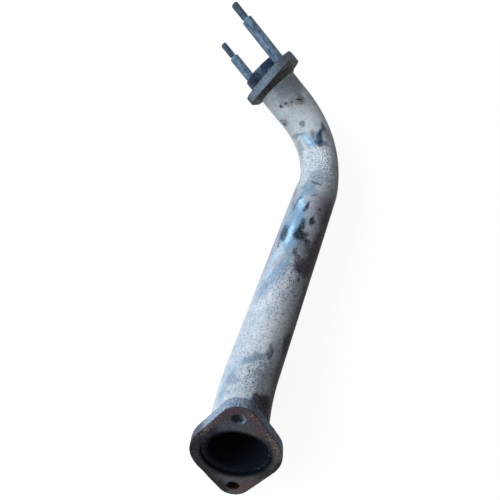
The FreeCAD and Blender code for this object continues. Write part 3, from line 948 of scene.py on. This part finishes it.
# %% Stains of the lower flange: mm along the bolt line, mm across, length, width, lean, softness, strength
LOWER_STAINS = {
    "slate": {
        "between the bore and the upper hole": (33, 0, 16, 34, 0, 1.0, 0.95),
        "beside the lower hole": (-33, -2, 12, 30, 0, 1.0, 0.95),
        "lower tip": (-52, -3, 9, 14, 0, 1.0, 0.7),
    },
    "blue": {
        "over the bore": (-4, 31, 44, 10, 0, 1.0, 1.0),
        "past the bore": (22, 22, 22, 7, -38, 1.0, 0.8),
        "before the bore": (-24, 20, 18, 7, 38, 1.0, 0.7),
    },
    "purple": {
        "round the upper hole": (50, 0, 12, 25, 0, 1.0, 0.9),
        "rim over the upper hole": (40, 16, 26, 6, -33, 1.0, 0.8),
        "rim under the upper hole": (38, -16, 30, 7, 33, 1.0, 0.7),
    },
    "tan": {
        "side lobe": (10, -31, 24, 8, 0, 1.0, 0.95),
        "rim of the side lobe": (26, -25, 22, 7, 33, 1.0, 0.8),
        "rim over the upper hole": (32, 21, 18, 5, -33, 1.0, 0.7),
        "between the bore and the lower hole": (-29, -8, 9, 20, 0, 1.0, 0.4),
    },
    "rust": {
        "rim under the lower hole": (-40, -12, 20, 6, -29, 1.0, 0.6),
        "spot beside the bore": (31, -15, 10, 5, 25, 1.0, 0.6),
        "rim near the upper hole": (46, -9, 10, 5, 40, 1.0, 0.6),
        "round the lower hole": (-42, -4, 18, 12, 0, 1.0, 0.5),
    },
    "dark": {
        "rim over the lower hole": (-34, 21, 50, 8, 32, 1.0, 1.0),
        "rim over the bore": (2, 36, 46, 4, 0, 1.0, 0.95),
        "rim past the bore": (18, 32, 22, 5, -28, 1.0, 0.9),
        "by the lower hole": (-44, 9, 20, 7, 15, 1.0, 0.8),
        "rim under the bore": (-14, -33, 30, 5, -8, 1.0, 0.7),
        "between the bore and the rim": (-20, -24, 18, 6, -35, 1.0, 0.6),
    # Painted highlight: the edge is paler where it faces the sky lamp, and so is the lit half of the upper
    # hole's wall
    },
    "pale": {
        "edge towards the sky": (33, 26, 84, 42, -24, 0.9, 1.0),
        "edge at the upper end": (56, 2, 12, 22, 0, 1.2, 0.6),
        "edge at the lower side": (-40, 22, 50, 16, 30, 1.0, 0.4),
        "edge past the side lobe": (28, -28, 56, 12, 33, 1.2, 0.35),
        "wall of the upper hole": (43.5, -4, 12, 9, 0, 0.5, 0.8),
    },
    "flecked": {
        "rim under the upper hole": (44, -11, 18, 6, 40, 1.0, 1.0),
        "rim of the side lobe": (26, -25, 26, 6, 33, 1.0, 0.8),
        "rim over the upper hole": (30, 22, 26, 5, -33, 1.0, 0.9),
        "side lobe": (10, -30, 26, 9, 0, 1.0, 0.8),
        "lower tip": (-51, -4, 13, 14, 0, 1.0, 0.6),
    },
}

# %% Stains of the upper flange
UPPER_STAINS = {
    "slate": {
        "front": (0, 0, 110, 70, 0, 1.0, 0.5),
    },
    "blue": {
        "round the ring": (0, 0, 66, 66, 0, 0.6, 0.4),
    },
    "purple": {
        "rim": (20, -30, 50, 10, 0, 1.0, 0.4),
    },
    "tan": {
        "back by the far stud": (-30, -10, 30, 20, 0, 1.0, 0.4),
    },
    "rust": {
        "far end": (-50, 0, 14, 24, 0, 1.0, 0.5),
    },
    "dark": {
        "far end": (-52, 0, 13, 34, 0, 1.0, 0.85),
        "corner of the near side": (-16, -36, 34, 16, 0, 0.9, 0.90),
        "near end": (56, -6, 6, 20, 0, 1.0, 0.5),
    },
    # Painted highlight: the edge between the studs is paler where it faces the sky lamp
    "pale": {
        "edge between the studs": (5, 0, 90, 90, 0, 1.0, 0.8),
    },
    "flecked": {
        "far end": (-44, 0, 30, 40, 0, 1.0, 0.9),
        "rim": (10, 0, 100, 80, 0, 1.0, 0.35),
    },
}


# %% Pitted copy of a plate
def plate_distance(along, beside, lobe_radius, side_radius):
    """Distance of each point inside the plate's outline, which is three discs wrapped by tangents.

    A tangent line's outward direction leans from the bolt line by acos((R - r) / half spacing).
    The outline is the farthest of that line, the middle disc and the lobe disc in each quarter.
    """
    along, beside = np.abs(along), np.abs(beside)
    half = BOLT_SPACING / 2
    lean = math.acos((side_radius - lobe_radius) / half)
    tangent = along * math.cos(lean) + beside * math.sin(lean) - side_radius
    lobe = np.hypot(along - half, beside) - lobe_radius
    disc = np.hypot(along, beside) - side_radius
    slope = -along * math.sin(lean) + beside * math.cos(lean)
    past_tangent = slope < -half * math.sin(lean)
    before_tangent = slope > 0
    return -np.where(past_tangent, lobe, np.where(before_tangent, disc, tangent))


VOXEL = 0.62 * MM
HOLE_AND_CHAMFER = 6.2 * MM


def small_faces(name, node):
    """A copy of the node, merged and rebuilt as small even faces by a voxel remesh."""
    piece = bpy.data.objects.new(name, frame["nodes"][node].data.copy())
    bpy.context.scene.collection.objects.link(piece)
    weld = piece.modifiers.new("merge", "WELD")
    weld.merge_threshold = 0.01 * MM
    remesh = piece.modifiers.new("small_faces", "REMESH")
    remesh.mode = "VOXEL"
    remesh.voxel_size = VOXEL
    depsgraph = bpy.context.evaluated_depsgraph_get()
    rebuilt = bpy.data.meshes.new_from_object(piece.evaluated_get(depsgraph))
    piece.modifiers.clear()
    piece.data = rebuilt
    rebuilt.materials.clear()
    return piece


def pitted_plate(name, node, centre, line_direction, out, radii, stains, seed):
    """Small faces pushed inwards by noise, with the stains, the soot and the rim stored as numbers.

    radii are those of the lobes, of the middle of the outline and of the recess or seat.
    """
    lobe_radius, side_radius, recess_radius = radii
    piece = small_faces(name, node)
    points = points_of(piece)
    normals = np.empty(len(points) * 3, np.float32)
    piece.data.vertices.foreach_get("normal", normals)
    normals = normals.reshape(-1, 3)
    along = (points - centre) @ line_direction
    beside = (points - centre) @ np.cross(out, line_direction)
    height = (points - centre) @ out
    inside_rim = plate_distance(along, beside, lobe_radius, side_radius)
    broad = lumps(points, 9 * MM, seed)
    fine = lumps(points, 2.2 * MM, seed + 1)
    near_rim = np.clip(1 - inside_rim / (3 * MM), 0, 1)
    bites = 0.16 * near_rim * np.clip(broad + 0.3, 0, 1)
    depth = 0.10 * (0.5 + 0.5 * broad) + 0.12 * np.clip(fine + 0.1, 0, 1) + bites
    points = points - normals * (depth * MM)[:, None]
    piece.data.vertices.foreach_set("co", points.astype(np.float32).ravel())
    piece.data.polygons.foreach_set("use_smooth", np.ones(len(piece.data.polygons), bool))
    piece.data.update()
    facing = normals @ out
    mark(piece, "rim", ramp(inside_rim, 4 * MM, 0))
    in_front = ramp(facing, 0.5, 0.8)
    mark(piece, "front", in_front)
    mark(piece, "back", ramp(-facing, 0.5, 0.8))
    # Painted shade: a thin dark line where the rim rounds over
    mark(piece, "crease", ramp(facing, 0.15, 0.45) * ramp(facing, 0.92, 0.70) * (inside_rim < 3 * MM))
    from_axis = np.hypot(along, beside)
    recess = (from_axis < recess_radius + 0.4 * MM) * ramp(height, 0, -0.4 * MM)
    halo = ramp(from_axis + 1.0 * MM * broad, recess_radius + 4.0 * MM, recess_radius - 0.2 * MM)
    mark(piece, "soot", np.maximum(recess, 0.9 * (halo * in_front)))
    # Painted shade in the bolt holes: their walls are darkened, the upper hole's only on the half in shade
    from_hole = np.hypot(np.abs(along) - BOLT_SPACING / 2, beside)
    hole = (from_hole < HOLE_AND_CHAMFER) * ramp(height, 0, -0.8 * MM)
    hole = hole * ramp(-height, UPPER_THICKNESS, LOWER_THICKNESS - 0.8 * MM)
    mark(piece, "hole", hole * np.where(along < 0, 1.0, 0.7 * ramp(beside, -1 * MM, 2 * MM)))
    for kind, places in stains.items():
        mark(piece, kind, ovals(along / MM + 1.5 * broad, beside / MM + 1.5 * fine, places, fine))
    print(name, "faces", len(piece.data.polygons), "rim at", round(float(inside_rim.min()) / MM, 2), "mm")
    return piece


LOWER_RADII = (13.5 * MM, 36.5 * MM, 28.0 * MM)
UPPER_RADII = (15.0 * MM, 37.5 * MM, 26.0 * MM)

lower_plate = pitted_plate("lower_flange_plate", "lower_flange", lower_face, lower_line, lower_out,
                           LOWER_RADII, LOWER_STAINS, 11)
upper_plate = pitted_plate("upper_flange_plate", "upper_flange", upper_face, upper_line, upper_out,
                           UPPER_RADII, UPPER_STAINS, 21)

# %% [markdown]
# ## Scaled plate steel
# The plates are bare mild steel. Heat gives them a dark, dense scale, brown to slate, with purple
# rust where water sat near the rim, and paler flecks where the scale has chipped off. The edge is
# painted pale where it faces the sky lamp, a painted highlight, and painted shade darkens the bolt
# holes and a thin line round the rim. Scale is rough and hardly a metal to the eye.

# %% Finish of the plates
STORED = ("rim", "front", "back", "crease", "soot", "hole", "pale", "flecked")
STAINED = ("slate", "blue", "tan", "purple", "rust", "dark")


def plate_finish(name, colours, fleck_strength):
    """Scale on the faces, a paler edge, then each stain, soot round the bore, and flecks."""
    material, add = new_material(name)
    at = add("TexCoord").outputs["Object"]
    read = {kind: add("Attribute", attribute_name=kind).outputs["Fac"] for kind in (*STORED, *STAINED)}
    broad, fine, grit = (
        add("TexNoise", {"Vector": at, "Scale": per_mm(size), "Detail": detail, "Roughness": roughness})
        for size, detail, roughness in ((12, 5.0, 0.6), (2.2, 6.0, 0.7), (1.1, 4.0, 0.65)))

    # The edge is steel, painted pale in patches where it faces the sky lamp, a painted highlight, and stained
    # in others
    rubbed = add("MapRange", {0: fine, 1: 0.38, 2: 0.58, 3: 0.50})
    pale = add("Math", {0: read["pale"], 1: rubbed}, operation="MULTIPLY")
    edge_stain = add("Math", {0: read["dark"], 1: 0.85}, operation="MULTIPLY")
    edge = add("Mix", {FACTOR: pale, FIRST: colours["edge"], SECOND: colours["pale"]}, data_type="RGBA")
    edged = add("Mix", {FACTOR: edge_stain, FIRST: edge, SECOND: colours["edge_stain"]}, data_type="RGBA")

    # The front is scale with stains over it, and the back is plainer scale
    patchy = add("MapRange", {0: broad, 1: 0.38, 2: 0.62})
    coat = add("Mix", {FACTOR: patchy, FIRST: colours["face"], SECOND: colours["face_patch"]},
               data_type="RGBA")
    fray = add("Math", {0: fine, 1: 0.5}, operation="SUBTRACT")
    for kind in STAINED:
        moved = add("Math", {0: fray, 1: 1.6, 2: read[kind]}, operation="MULTIPLY_ADD")
        shown = add("MapRange", {0: moved, 1: 0.05, 2: 0.72, 4: 0.95})
        coat = add("Mix", {FACTOR: shown, FIRST: coat, SECOND: colours[kind]}, data_type="RGBA")
    faced = add("Mix", {FACTOR: read["front"], FIRST: edged, SECOND: coat}, data_type="RGBA")
    mottled = add("MapRange", {0: fine, 1: 0.42, 2: 0.62})
    behind = add("Mix", {FACTOR: mottled, FIRST: colours["back"], SECOND: colours["back_patch"]},
                 data_type="RGBA")
    coat = add("Mix", {FACTOR: read["back"], FIRST: faced, SECOND: behind}, data_type="RGBA")

    # A dark line round the rim, which is painted shade, dark pits everywhere, pale flecks where scale has
    # chipped, painted shade in the bolt holes, red-brown like rust, and soot
    # Painted shade line round the rim
    crease = add("Math", {0: read["crease"], 1: 0.8}, operation="MULTIPLY")
    pits = add("MapRange", {0: grit, 1: 0.49, 2: 0.36, 4: 0.8})
    rimmed = add("Math", {0: read["rim"], 1: 0.25, 2: read["flecked"]}, operation="MULTIPLY_ADD")
    in_front = add("Math", {0: rimmed, 1: read["front"]}, operation="MULTIPLY")
    chipped = add("Math", {0: in_front, 1: 0.16}, operation="ADD")
    flecks = add("MapRange", {0: grit, 1: 0.53, 2: 0.66})
    fleck_share = add("Math", {0: flecks, 1: chipped}, operation="MULTIPLY")
    fleck_part = add("Math", {0: fleck_share, 1: fleck_strength}, operation="MULTIPLY")
    for share, colour in ((crease, "1d1a1c"), (pits, "1b1c20"), (fleck_part, "b4a5a1"),
                          (read["hole"], "241512"), (read["soot"], "10161e")):
        coat = add("Mix", {FACTOR: share, FIRST: coat, SECOND: colour}, data_type="RGBA")
    gloss = add("MapRange", {0: broad, 1: 0.3, 2: 0.7, 3: 0.46, 4: 0.64})
    relief = add("Math", {0: grit, 1: 0.6, 2: fine}, operation="MULTIPLY_ADD")
    bump = add("Bump", {"Strength": 0.7, "Distance": 0.40 * MM, "Height": relief})
    shader = add("BsdfPrincipled", {"Base Color": coat, "Metallic": 0.06, "Roughness": gloss,
                                    "Specular IOR Level": 0.04, "Normal": bump})
    add("OutputMaterial", {"Surface": shader})
    return material


LOWER_COLOURS = {
    "face": "474341", "face_patch": "505255", "edge": "464554", "pale": "b0bfd2", "edge_stain": "403d48",
    "back": "3a3533", "back_patch": "57524e", "slate": "575d62", "blue": "151e29", "tan": "6a5e52",
    "purple": "5b4d53", "rust": "6e5350", "dark": "1a1716",
}
UPPER_COLOURS = {
    "face": "4c4a4a", "face_patch": "565a5e", "edge": "697682", "pale": "a2b2c1", "edge_stain": "463c3b",
    "back": "343537", "back_patch": "57585a", "slate": "59626a", "blue": "3a444f", "tan": "6a6056",
    "purple": "5b5058", "rust": "5e4640", "dark": "2b2827",
}
lower_plate.data.materials.append(plate_finish("lower_flange_scale", LOWER_COLOURS, 0.9))
upper_plate.data.materials.append(plate_finish("upper_flange_scale", UPPER_COLOURS, 0.7))
for piece, node in ((lower_plate, "lower_flange"), (upper_plate, "upper_flange")):
    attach(piece, "root")
    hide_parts(node)
print("plates finished")

# %% [markdown]
# ## Weld beads with ripples
# A welder's bead is a row of overlapping frozen pools. Each bead is a fillet section carried round
# the tube, and its height rises and falls with each pool, every 4 mm. The bead inside the recess is
# lower and lumpier. The section closes on itself along the plate and just inside the tube's skin.

# %% Bead surfaces
POOL_PITCH = 4.0
BEAD_LEG = 5.0
TUBE_OUTSIDE = 25.0
UNDER_SKIN = 24.9
RECESS_DEPTH = 4
RING_COLUMNS = 720


def ring_piece(name, centre, out, reference, radii, heights, lift):
    """A closed section of (radius, height) points in mm, carried round an axis and lifted by noise."""
    angles = np.linspace(0, 2 * math.pi, RING_COLUMNS, endpoint=False)
    side = np.cross(out, reference)
    spokes = reference * np.cos(angles)[:, None] + side * np.sin(angles)[:, None]
    lifted_radii, lifted_heights = lift(np.array(radii)[None, :], np.array(heights)[None, :], angles[:, None])
    outward = spokes[:, None] * (lifted_radii * MM)[..., None]
    points = centre + outward + out * (lifted_heights * MM)[..., None]
    return grid_piece(name, points, True, True)


def fillet_section():
    """The crowned face from the plate to the tube, then the corner under the tube's skin."""
    share = np.linspace(0, 1, 12)
    bulge = 0.55 * np.sin(share * math.pi)
    radii = TUBE_OUTSIDE + BEAD_LEG * (1 - share) + bulge * 0.7
    heights = BEAD_LEG * share + bulge * 0.7
    return np.append(radii, UNDER_SKIN), np.append(heights, 0.0)


def pools(radii, heights, angles):
    """Each point of the face sinks a little between pools, as a scalloped wave round the tube."""
    reach = np.minimum((radii - UNDER_SKIN) * 0.5, 1.2) * np.clip(heights, 0, 1) ** 0.5
    wave = np.abs(np.sin(angles * TUBE_OUTSIDE / POOL_PITCH * math.pi + 0.35 * heights))
    lump = 0.5 * np.sin(3 * angles + 1.1) + 0.5 * np.sin(7 * angles + 0.4)
    sink = reach * (0.42 * (1 - wave) + 0.18 * (0.5 + 0.5 * lump))
    return radii - sink, heights - sink * (heights > 0.1)


bead_radii, bead_heights = fillet_section()
lower_back = lower_face - lower_out * LOWER_THICKNESS
upper_back = upper_face - upper_out * UPPER_THICKNESS
lower_bead = ring_piece("lower_weld", lower_back, -lower_out, lower_line, bead_radii, bead_heights, pools)
upper_bead = ring_piece("upper_weld", upper_back, -upper_out, upper_line, bead_radii, bead_heights, pools)
seal_radii = [25.0, 28.0, 28.0, 27.2, 26.4, 25.6, 25.0]
seal_heights = [0.0, 0.0, 1.5, 1.55, 1.45, 1.3, 1.0]


def crumbs(radii, heights, angles):
    """The low bead inside the recess: uneven pools that sink below its plain surface."""
    wave = 0.5 + 0.5 * np.sin(angles * 47 + 1.5 * np.sin(angles * 5))
    other = 0.5 + 0.5 * np.sin(angles * 23 + 2.0)
    return radii + 0 * angles, heights - np.where(heights > 0.5, 0.55 * wave * other, 0)


seal_bead = ring_piece("recess_weld", lower_face - lower_out * RECESS_DEPTH * MM, lower_out, lower_line,
                       seal_radii, seal_heights, crumbs)
seal_points = points_of(seal_bead) - lower_face
seal_beside = seal_points @ np.cross(lower_out, lower_line)
# Painted highlights: pale crumbs on one side of the recess bead, where its lumps catch the light
mark(seal_bead, "chipped", 0.8 * ramp(seal_beside, -12 * MM, -22 * MM))
print("bead faces", len(lower_bead.data.polygons), len(seal_bead.data.polygons))

# %% [markdown]
# ## Burnt weld metal
# Weld metal is steel with a glassy brown-black crust. It is a little shinier than the scaled plate
# and catches small bright points on its pools.

# %% Finish of the welds
def weld_finish(name, dark_colour, light_colour, shine):
    """Brown-black crust, and paler crumbs where it is marked as chipped, which on the recess bead are painted
    highlights.
    """
    material, add = new_material(name)
    at = add("TexCoord").outputs["Object"]
    broad = add("TexNoise", {"Vector": at, "Scale": per_mm(5), "Detail": 5.0, "Roughness": 0.65})
    fine = add("TexNoise", {"Vector": at, "Scale": per_mm(1.3), "Detail": 4.0})
    patchy = add("MapRange", {0: broad, 1: 0.36, 2: 0.64})
    crust = add("Mix", {FACTOR: patchy, FIRST: dark_colour, SECOND: light_colour}, data_type="RGBA")
    # On the recess bead the chipped crumbs are painted highlights
    chipped = add("Attribute", attribute_name="chipped").outputs["Fac"]
    crumb = add("MapRange", {0: fine, 1: 0.56, 2: 0.66})
    crumb_highlight_share = add("Math", {0: crumb, 1: chipped}, operation="MULTIPLY")
    crumbled = add("Mix", {FACTOR: crumb_highlight_share, FIRST: crust, SECOND: "5b6878"}, data_type="RGBA")
    gloss = add("MapRange", {0: fine, 1: 0.3, 2: 0.7, 3: 0.34, 4: 0.60})
    bump = add("Bump", {"Strength": 0.5, "Distance": 0.25 * MM, "Height": fine})
    shader = add("BsdfPrincipled", {"Base Color": crumbled, "Metallic": 0.10, "Roughness": gloss,
                                    "Specular IOR Level": shine, "Normal": bump})
    add("OutputMaterial", {"Surface": shader})
    return material


weld_material = weld_finish("burnt_weld_metal", "1d1b1b", "57524f", 0.15)
soot_material = weld_finish("sooted_weld_metal", "0a0f16", "11141a", 0.05)
for piece, node, material in (
    (lower_bead, "lower_weld_bead", weld_material),
    (upper_bead, "upper_weld_bead", weld_material),
    (seal_bead, "lower_seal_bead", soot_material),
):
    piece.data.materials.append(material)
    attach(piece, "root")
    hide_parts(node)
print("welds finished")

# %% [markdown]
# ## The ring gasket
# The ring is knitted steel wire pressed together with graphite. It is nearly black, with a soft
# shine, and the wire shows as a faint crossed grain. It is a turned section with a rounded outer
# edge at the front, and its surface is a little lumpy.

# %% Gasket surface
GASKET_RADIUS = 26.0
GASKET_BORE = 21.5
GASKET_BELOW = 2.0
GASKET_PROUD = 14.0
GASKET_EDGE = 1.5


def gasket_section():
    """Closed section in mm: outer wall, rounded front edge, front face, bore and floor."""
    bend = np.linspace(0, math.pi / 2, 7)
    edge_radii = GASKET_RADIUS - GASKET_EDGE + GASKET_EDGE * np.cos(bend)
    edge_heights = GASKET_PROUD - GASKET_EDGE + GASKET_EDGE * np.sin(bend)
    wall_heights = np.linspace(-GASKET_BELOW, GASKET_PROUD - GASKET_EDGE, 16)[:-1]
    face_radii = [23.0, 22.1, GASKET_BORE]
    face_heights = [GASKET_PROUD, GASKET_PROUD, GASKET_PROUD - 0.4]
    bore_heights = np.linspace(11, -GASKET_BELOW, 5)
    wall_radii = np.full(len(wall_heights), GASKET_RADIUS)
    bore_radii = np.full(len(bore_heights), GASKET_BORE)
    radii = np.concatenate([wall_radii, edge_radii, face_radii, bore_radii, [23.7]])
    heights = np.concatenate([wall_heights, edge_heights, face_heights, bore_heights, [-GASKET_BELOW]])
    return radii, heights


def knit(radii, heights, angles):
    """A crossed grain pressed into the outer wall, and slow lumps, both inwards."""
    crossed = np.sin(angles * 60 + heights * 2.2) * np.sin(angles * 60 - heights * 2.2)
    lump = 0.5 + 0.5 * np.sin(angles * 9 + heights * 0.5)
    outer = (radii > 24.5) & (heights > 0.2)
    return radii - np.where(outer, 0.10 * (0.5 + 0.5 * crossed) + 0.10 * lump, 0), heights + 0 * angles


gasket_radii, gasket_heights = gasket_section()
gasket = ring_piece("graphite_ring", upper_face, upper_out, upper_line, gasket_radii, gasket_heights, knit)
spokes = points_of(gasket) - upper_face
spokes -= np.outer(spokes @ upper_out, upper_out)
# Painted sky reflection: pale streaks where the ring faces the sky lamp
facing_up = spokes @ unit([-0.20, -0.71, 0.67]) / np.linalg.norm(spokes, axis=1)
mark(gasket, "lit", 0.75 * ramp(facing_up, 0.86, 0.98))
print("gasket faces", len(gasket.data.polygons))


# %% Finish of the gasket
def gasket_finish():
    """Graphite: near black, with pale scuffs, and pale streaks where it faces the sky, a painted sky
    reflection.
    """
    material, add = new_material("pressed_graphite")
    at = add("TexCoord").outputs["Object"]
    broad = add("TexNoise", {"Vector": at, "Scale": per_mm(6), "Detail": 4.0})
    fine = add("TexNoise", {"Vector": at, "Scale": per_mm(1.6), "Detail": 5.0, "Roughness": 0.7})
    lengthwise = along_axis(add, at, upper_out, 2.2)
    drawn = add("TexNoise", {"Vector": lengthwise, "Scale": per_mm(2.4), "Detail": 5.0})
    patchy = add("MapRange", {0: broad, 1: 0.35, 2: 0.65})
    scuff = add("MapRange", {0: fine, 1: 0.60, 2: 0.74, 4: 0.30})
    streak = add("MapRange", {0: drawn, 1: 0.50, 2: 0.64})
    lit = add("Attribute", attribute_name="lit").outputs["Fac"]
    sky_reflection_streak = add("Math", {0: streak, 1: lit}, operation="MULTIPLY")
    coat = add("Mix", {FACTOR: patchy, FIRST: "111b28", SECOND: "33465c"}, data_type="RGBA")
    for share, colour in ((scuff, "66758c"), (sky_reflection_streak, "7f9dba")):
        coat = add("Mix", {FACTOR: share, FIRST: coat, SECOND: colour}, data_type="RGBA")
    bump = add("Bump", {"Strength": 0.4, "Distance": 0.2 * MM, "Height": fine})
    shader = add("BsdfPrincipled", {"Base Color": coat, "Metallic": 0.1, "Roughness": 0.42,
                                    "Specular IOR Level": 0.15, "Normal": bump})
    add("OutputMaterial", {"Surface": shader})
    return material


gasket.data.materials.append(gasket_finish())
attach(gasket, "root")
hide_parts("ring_gasket")
print("gasket finished")

# %% [markdown]
# ## Floor, world and lamps
# The pipe lies on a white floor. Rays from the camera, and reflections, see the floor and the world
# as white, while other rays see plain paint and a dim sky, so the pipe isn't lit by its backdrop and
# the floor keeps the shadow. The floor glows a little less round the pipe and comes up to the
# world's white at 1.3 m. One large, soft lamp stands low on the left, as the open sky did, and weak
# ones fill from the front, from above and from the right.

# %% Floor
FLOOR_GLOW = 0.89
FLOOR_REACH = 1.3
FLOOR_PAINT = "8c8c8c"
FLOOR_HALF = 6


def backdrop_rays(add):
    """1 for a ray from the camera, a reflection or a refraction, and 0 for any other ray."""
    path = add("LightPath").outputs
    seen = add("Math", {0: path["Is Camera Ray"], 1: path["Is Glossy Ray"]}, operation="MAXIMUM")
    return add("Math", {0: seen, 1: path["Is Transmission Ray"]}, operation="MAXIMUM")


def floor_finish():
    """Grey paint that catches the shadow, plus light only for camera, glossy and transmission rays."""
    material, add = new_material("white_floor")
    at = add("TexCoord").outputs["Object"]
    away = add("VectorMath", {0: at}, operation="LENGTH").outputs["Value"]
    level = add("MapRange", {0: away, 1: FLOOR_REACH / 2, 2: FLOOR_REACH, 3: FLOOR_GLOW, 4: 1.0})
    strength = add("Math", {0: backdrop_rays(add), 1: level}, operation="MULTIPLY")
    paint = add("BsdfDiffuse", {"Color": FLOOR_PAINT})
    glow = add("Emission", {"Color": "ffffff", "Strength": strength})
    add("OutputMaterial", {"Surface": add("AddShader", {0: paint, 1: glow})})
    return material


near_side, far_side = ([[x, y, 0] for x in (-FLOOR_HALF, FLOOR_HALF)] for y in (-FLOOR_HALF, FLOOR_HALF))
floor = grid_piece("floor", np.array([near_side, far_side], float), False, False)
floor.data.materials.append(floor_finish())
print("floor made")

# %% World
SKY_STRENGTH = 0.09

world = bpy.data.worlds.new("soft_sky")
bpy.context.scene.world = world
world.use_nodes = True
world.node_tree.nodes.clear()
add_sky = partial(add_node, world.node_tree)
soft = add_sky("Background", {"Color": "e6e6ea", "Strength": SKY_STRENGTH})
white = add_sky("Background", {"Color": "ffffff", "Strength": 1.0})
both = add_sky("MixShader", {0: backdrop_rays(add_sky), 1: soft, 2: white})
add_sky("OutputWorld", {"Surface": both})
print("world made")


# %% Lamps
def lamp(name, direction, distance, width, height, power, colour):
    """A soft lamp, a rectangle at a distance in a direction from the middle of the pipe, aimed at it."""
    data = bpy.data.lights.new(name, "AREA")
    data.shape = "RECTANGLE"
    data.size, data.size_y = width, height
    data.energy = power
    data.color = linear(colour)[:3]
    light = bpy.data.objects.new(name, data)
    middle = Vector((cad_low + cad_high) / 2)
    light.location = middle + Vector(direction).normalized() * distance
    light.rotation_mode = "QUATERNION"
    light.rotation_quaternion = (middle - light.location).to_track_quat("-Z", "Y")
    bpy.context.scene.collection.objects.link(light)


lamp("left_sky", (-0.92, -0.08, 0.35), 1.4, 2.4, 1.2, 33.0, "e2edfb")
lamp("front_fill", (-0.15, -0.90, 0.50), 1.6, 1.2, 1.2, 6.0, "f2f4ff")
lamp("overhead", (0.15, 0.3, 1.0), 1.8, 1.4, 1.4, 2.8, "fbfaff")
lamp("right_fill", (0.85, 0.25, 0.45), 1.5, 1.2, 1.0, 1.8, "eef2ff")
bpy.context.scene.view_settings.view_transform = "Standard"
print("lamps set")
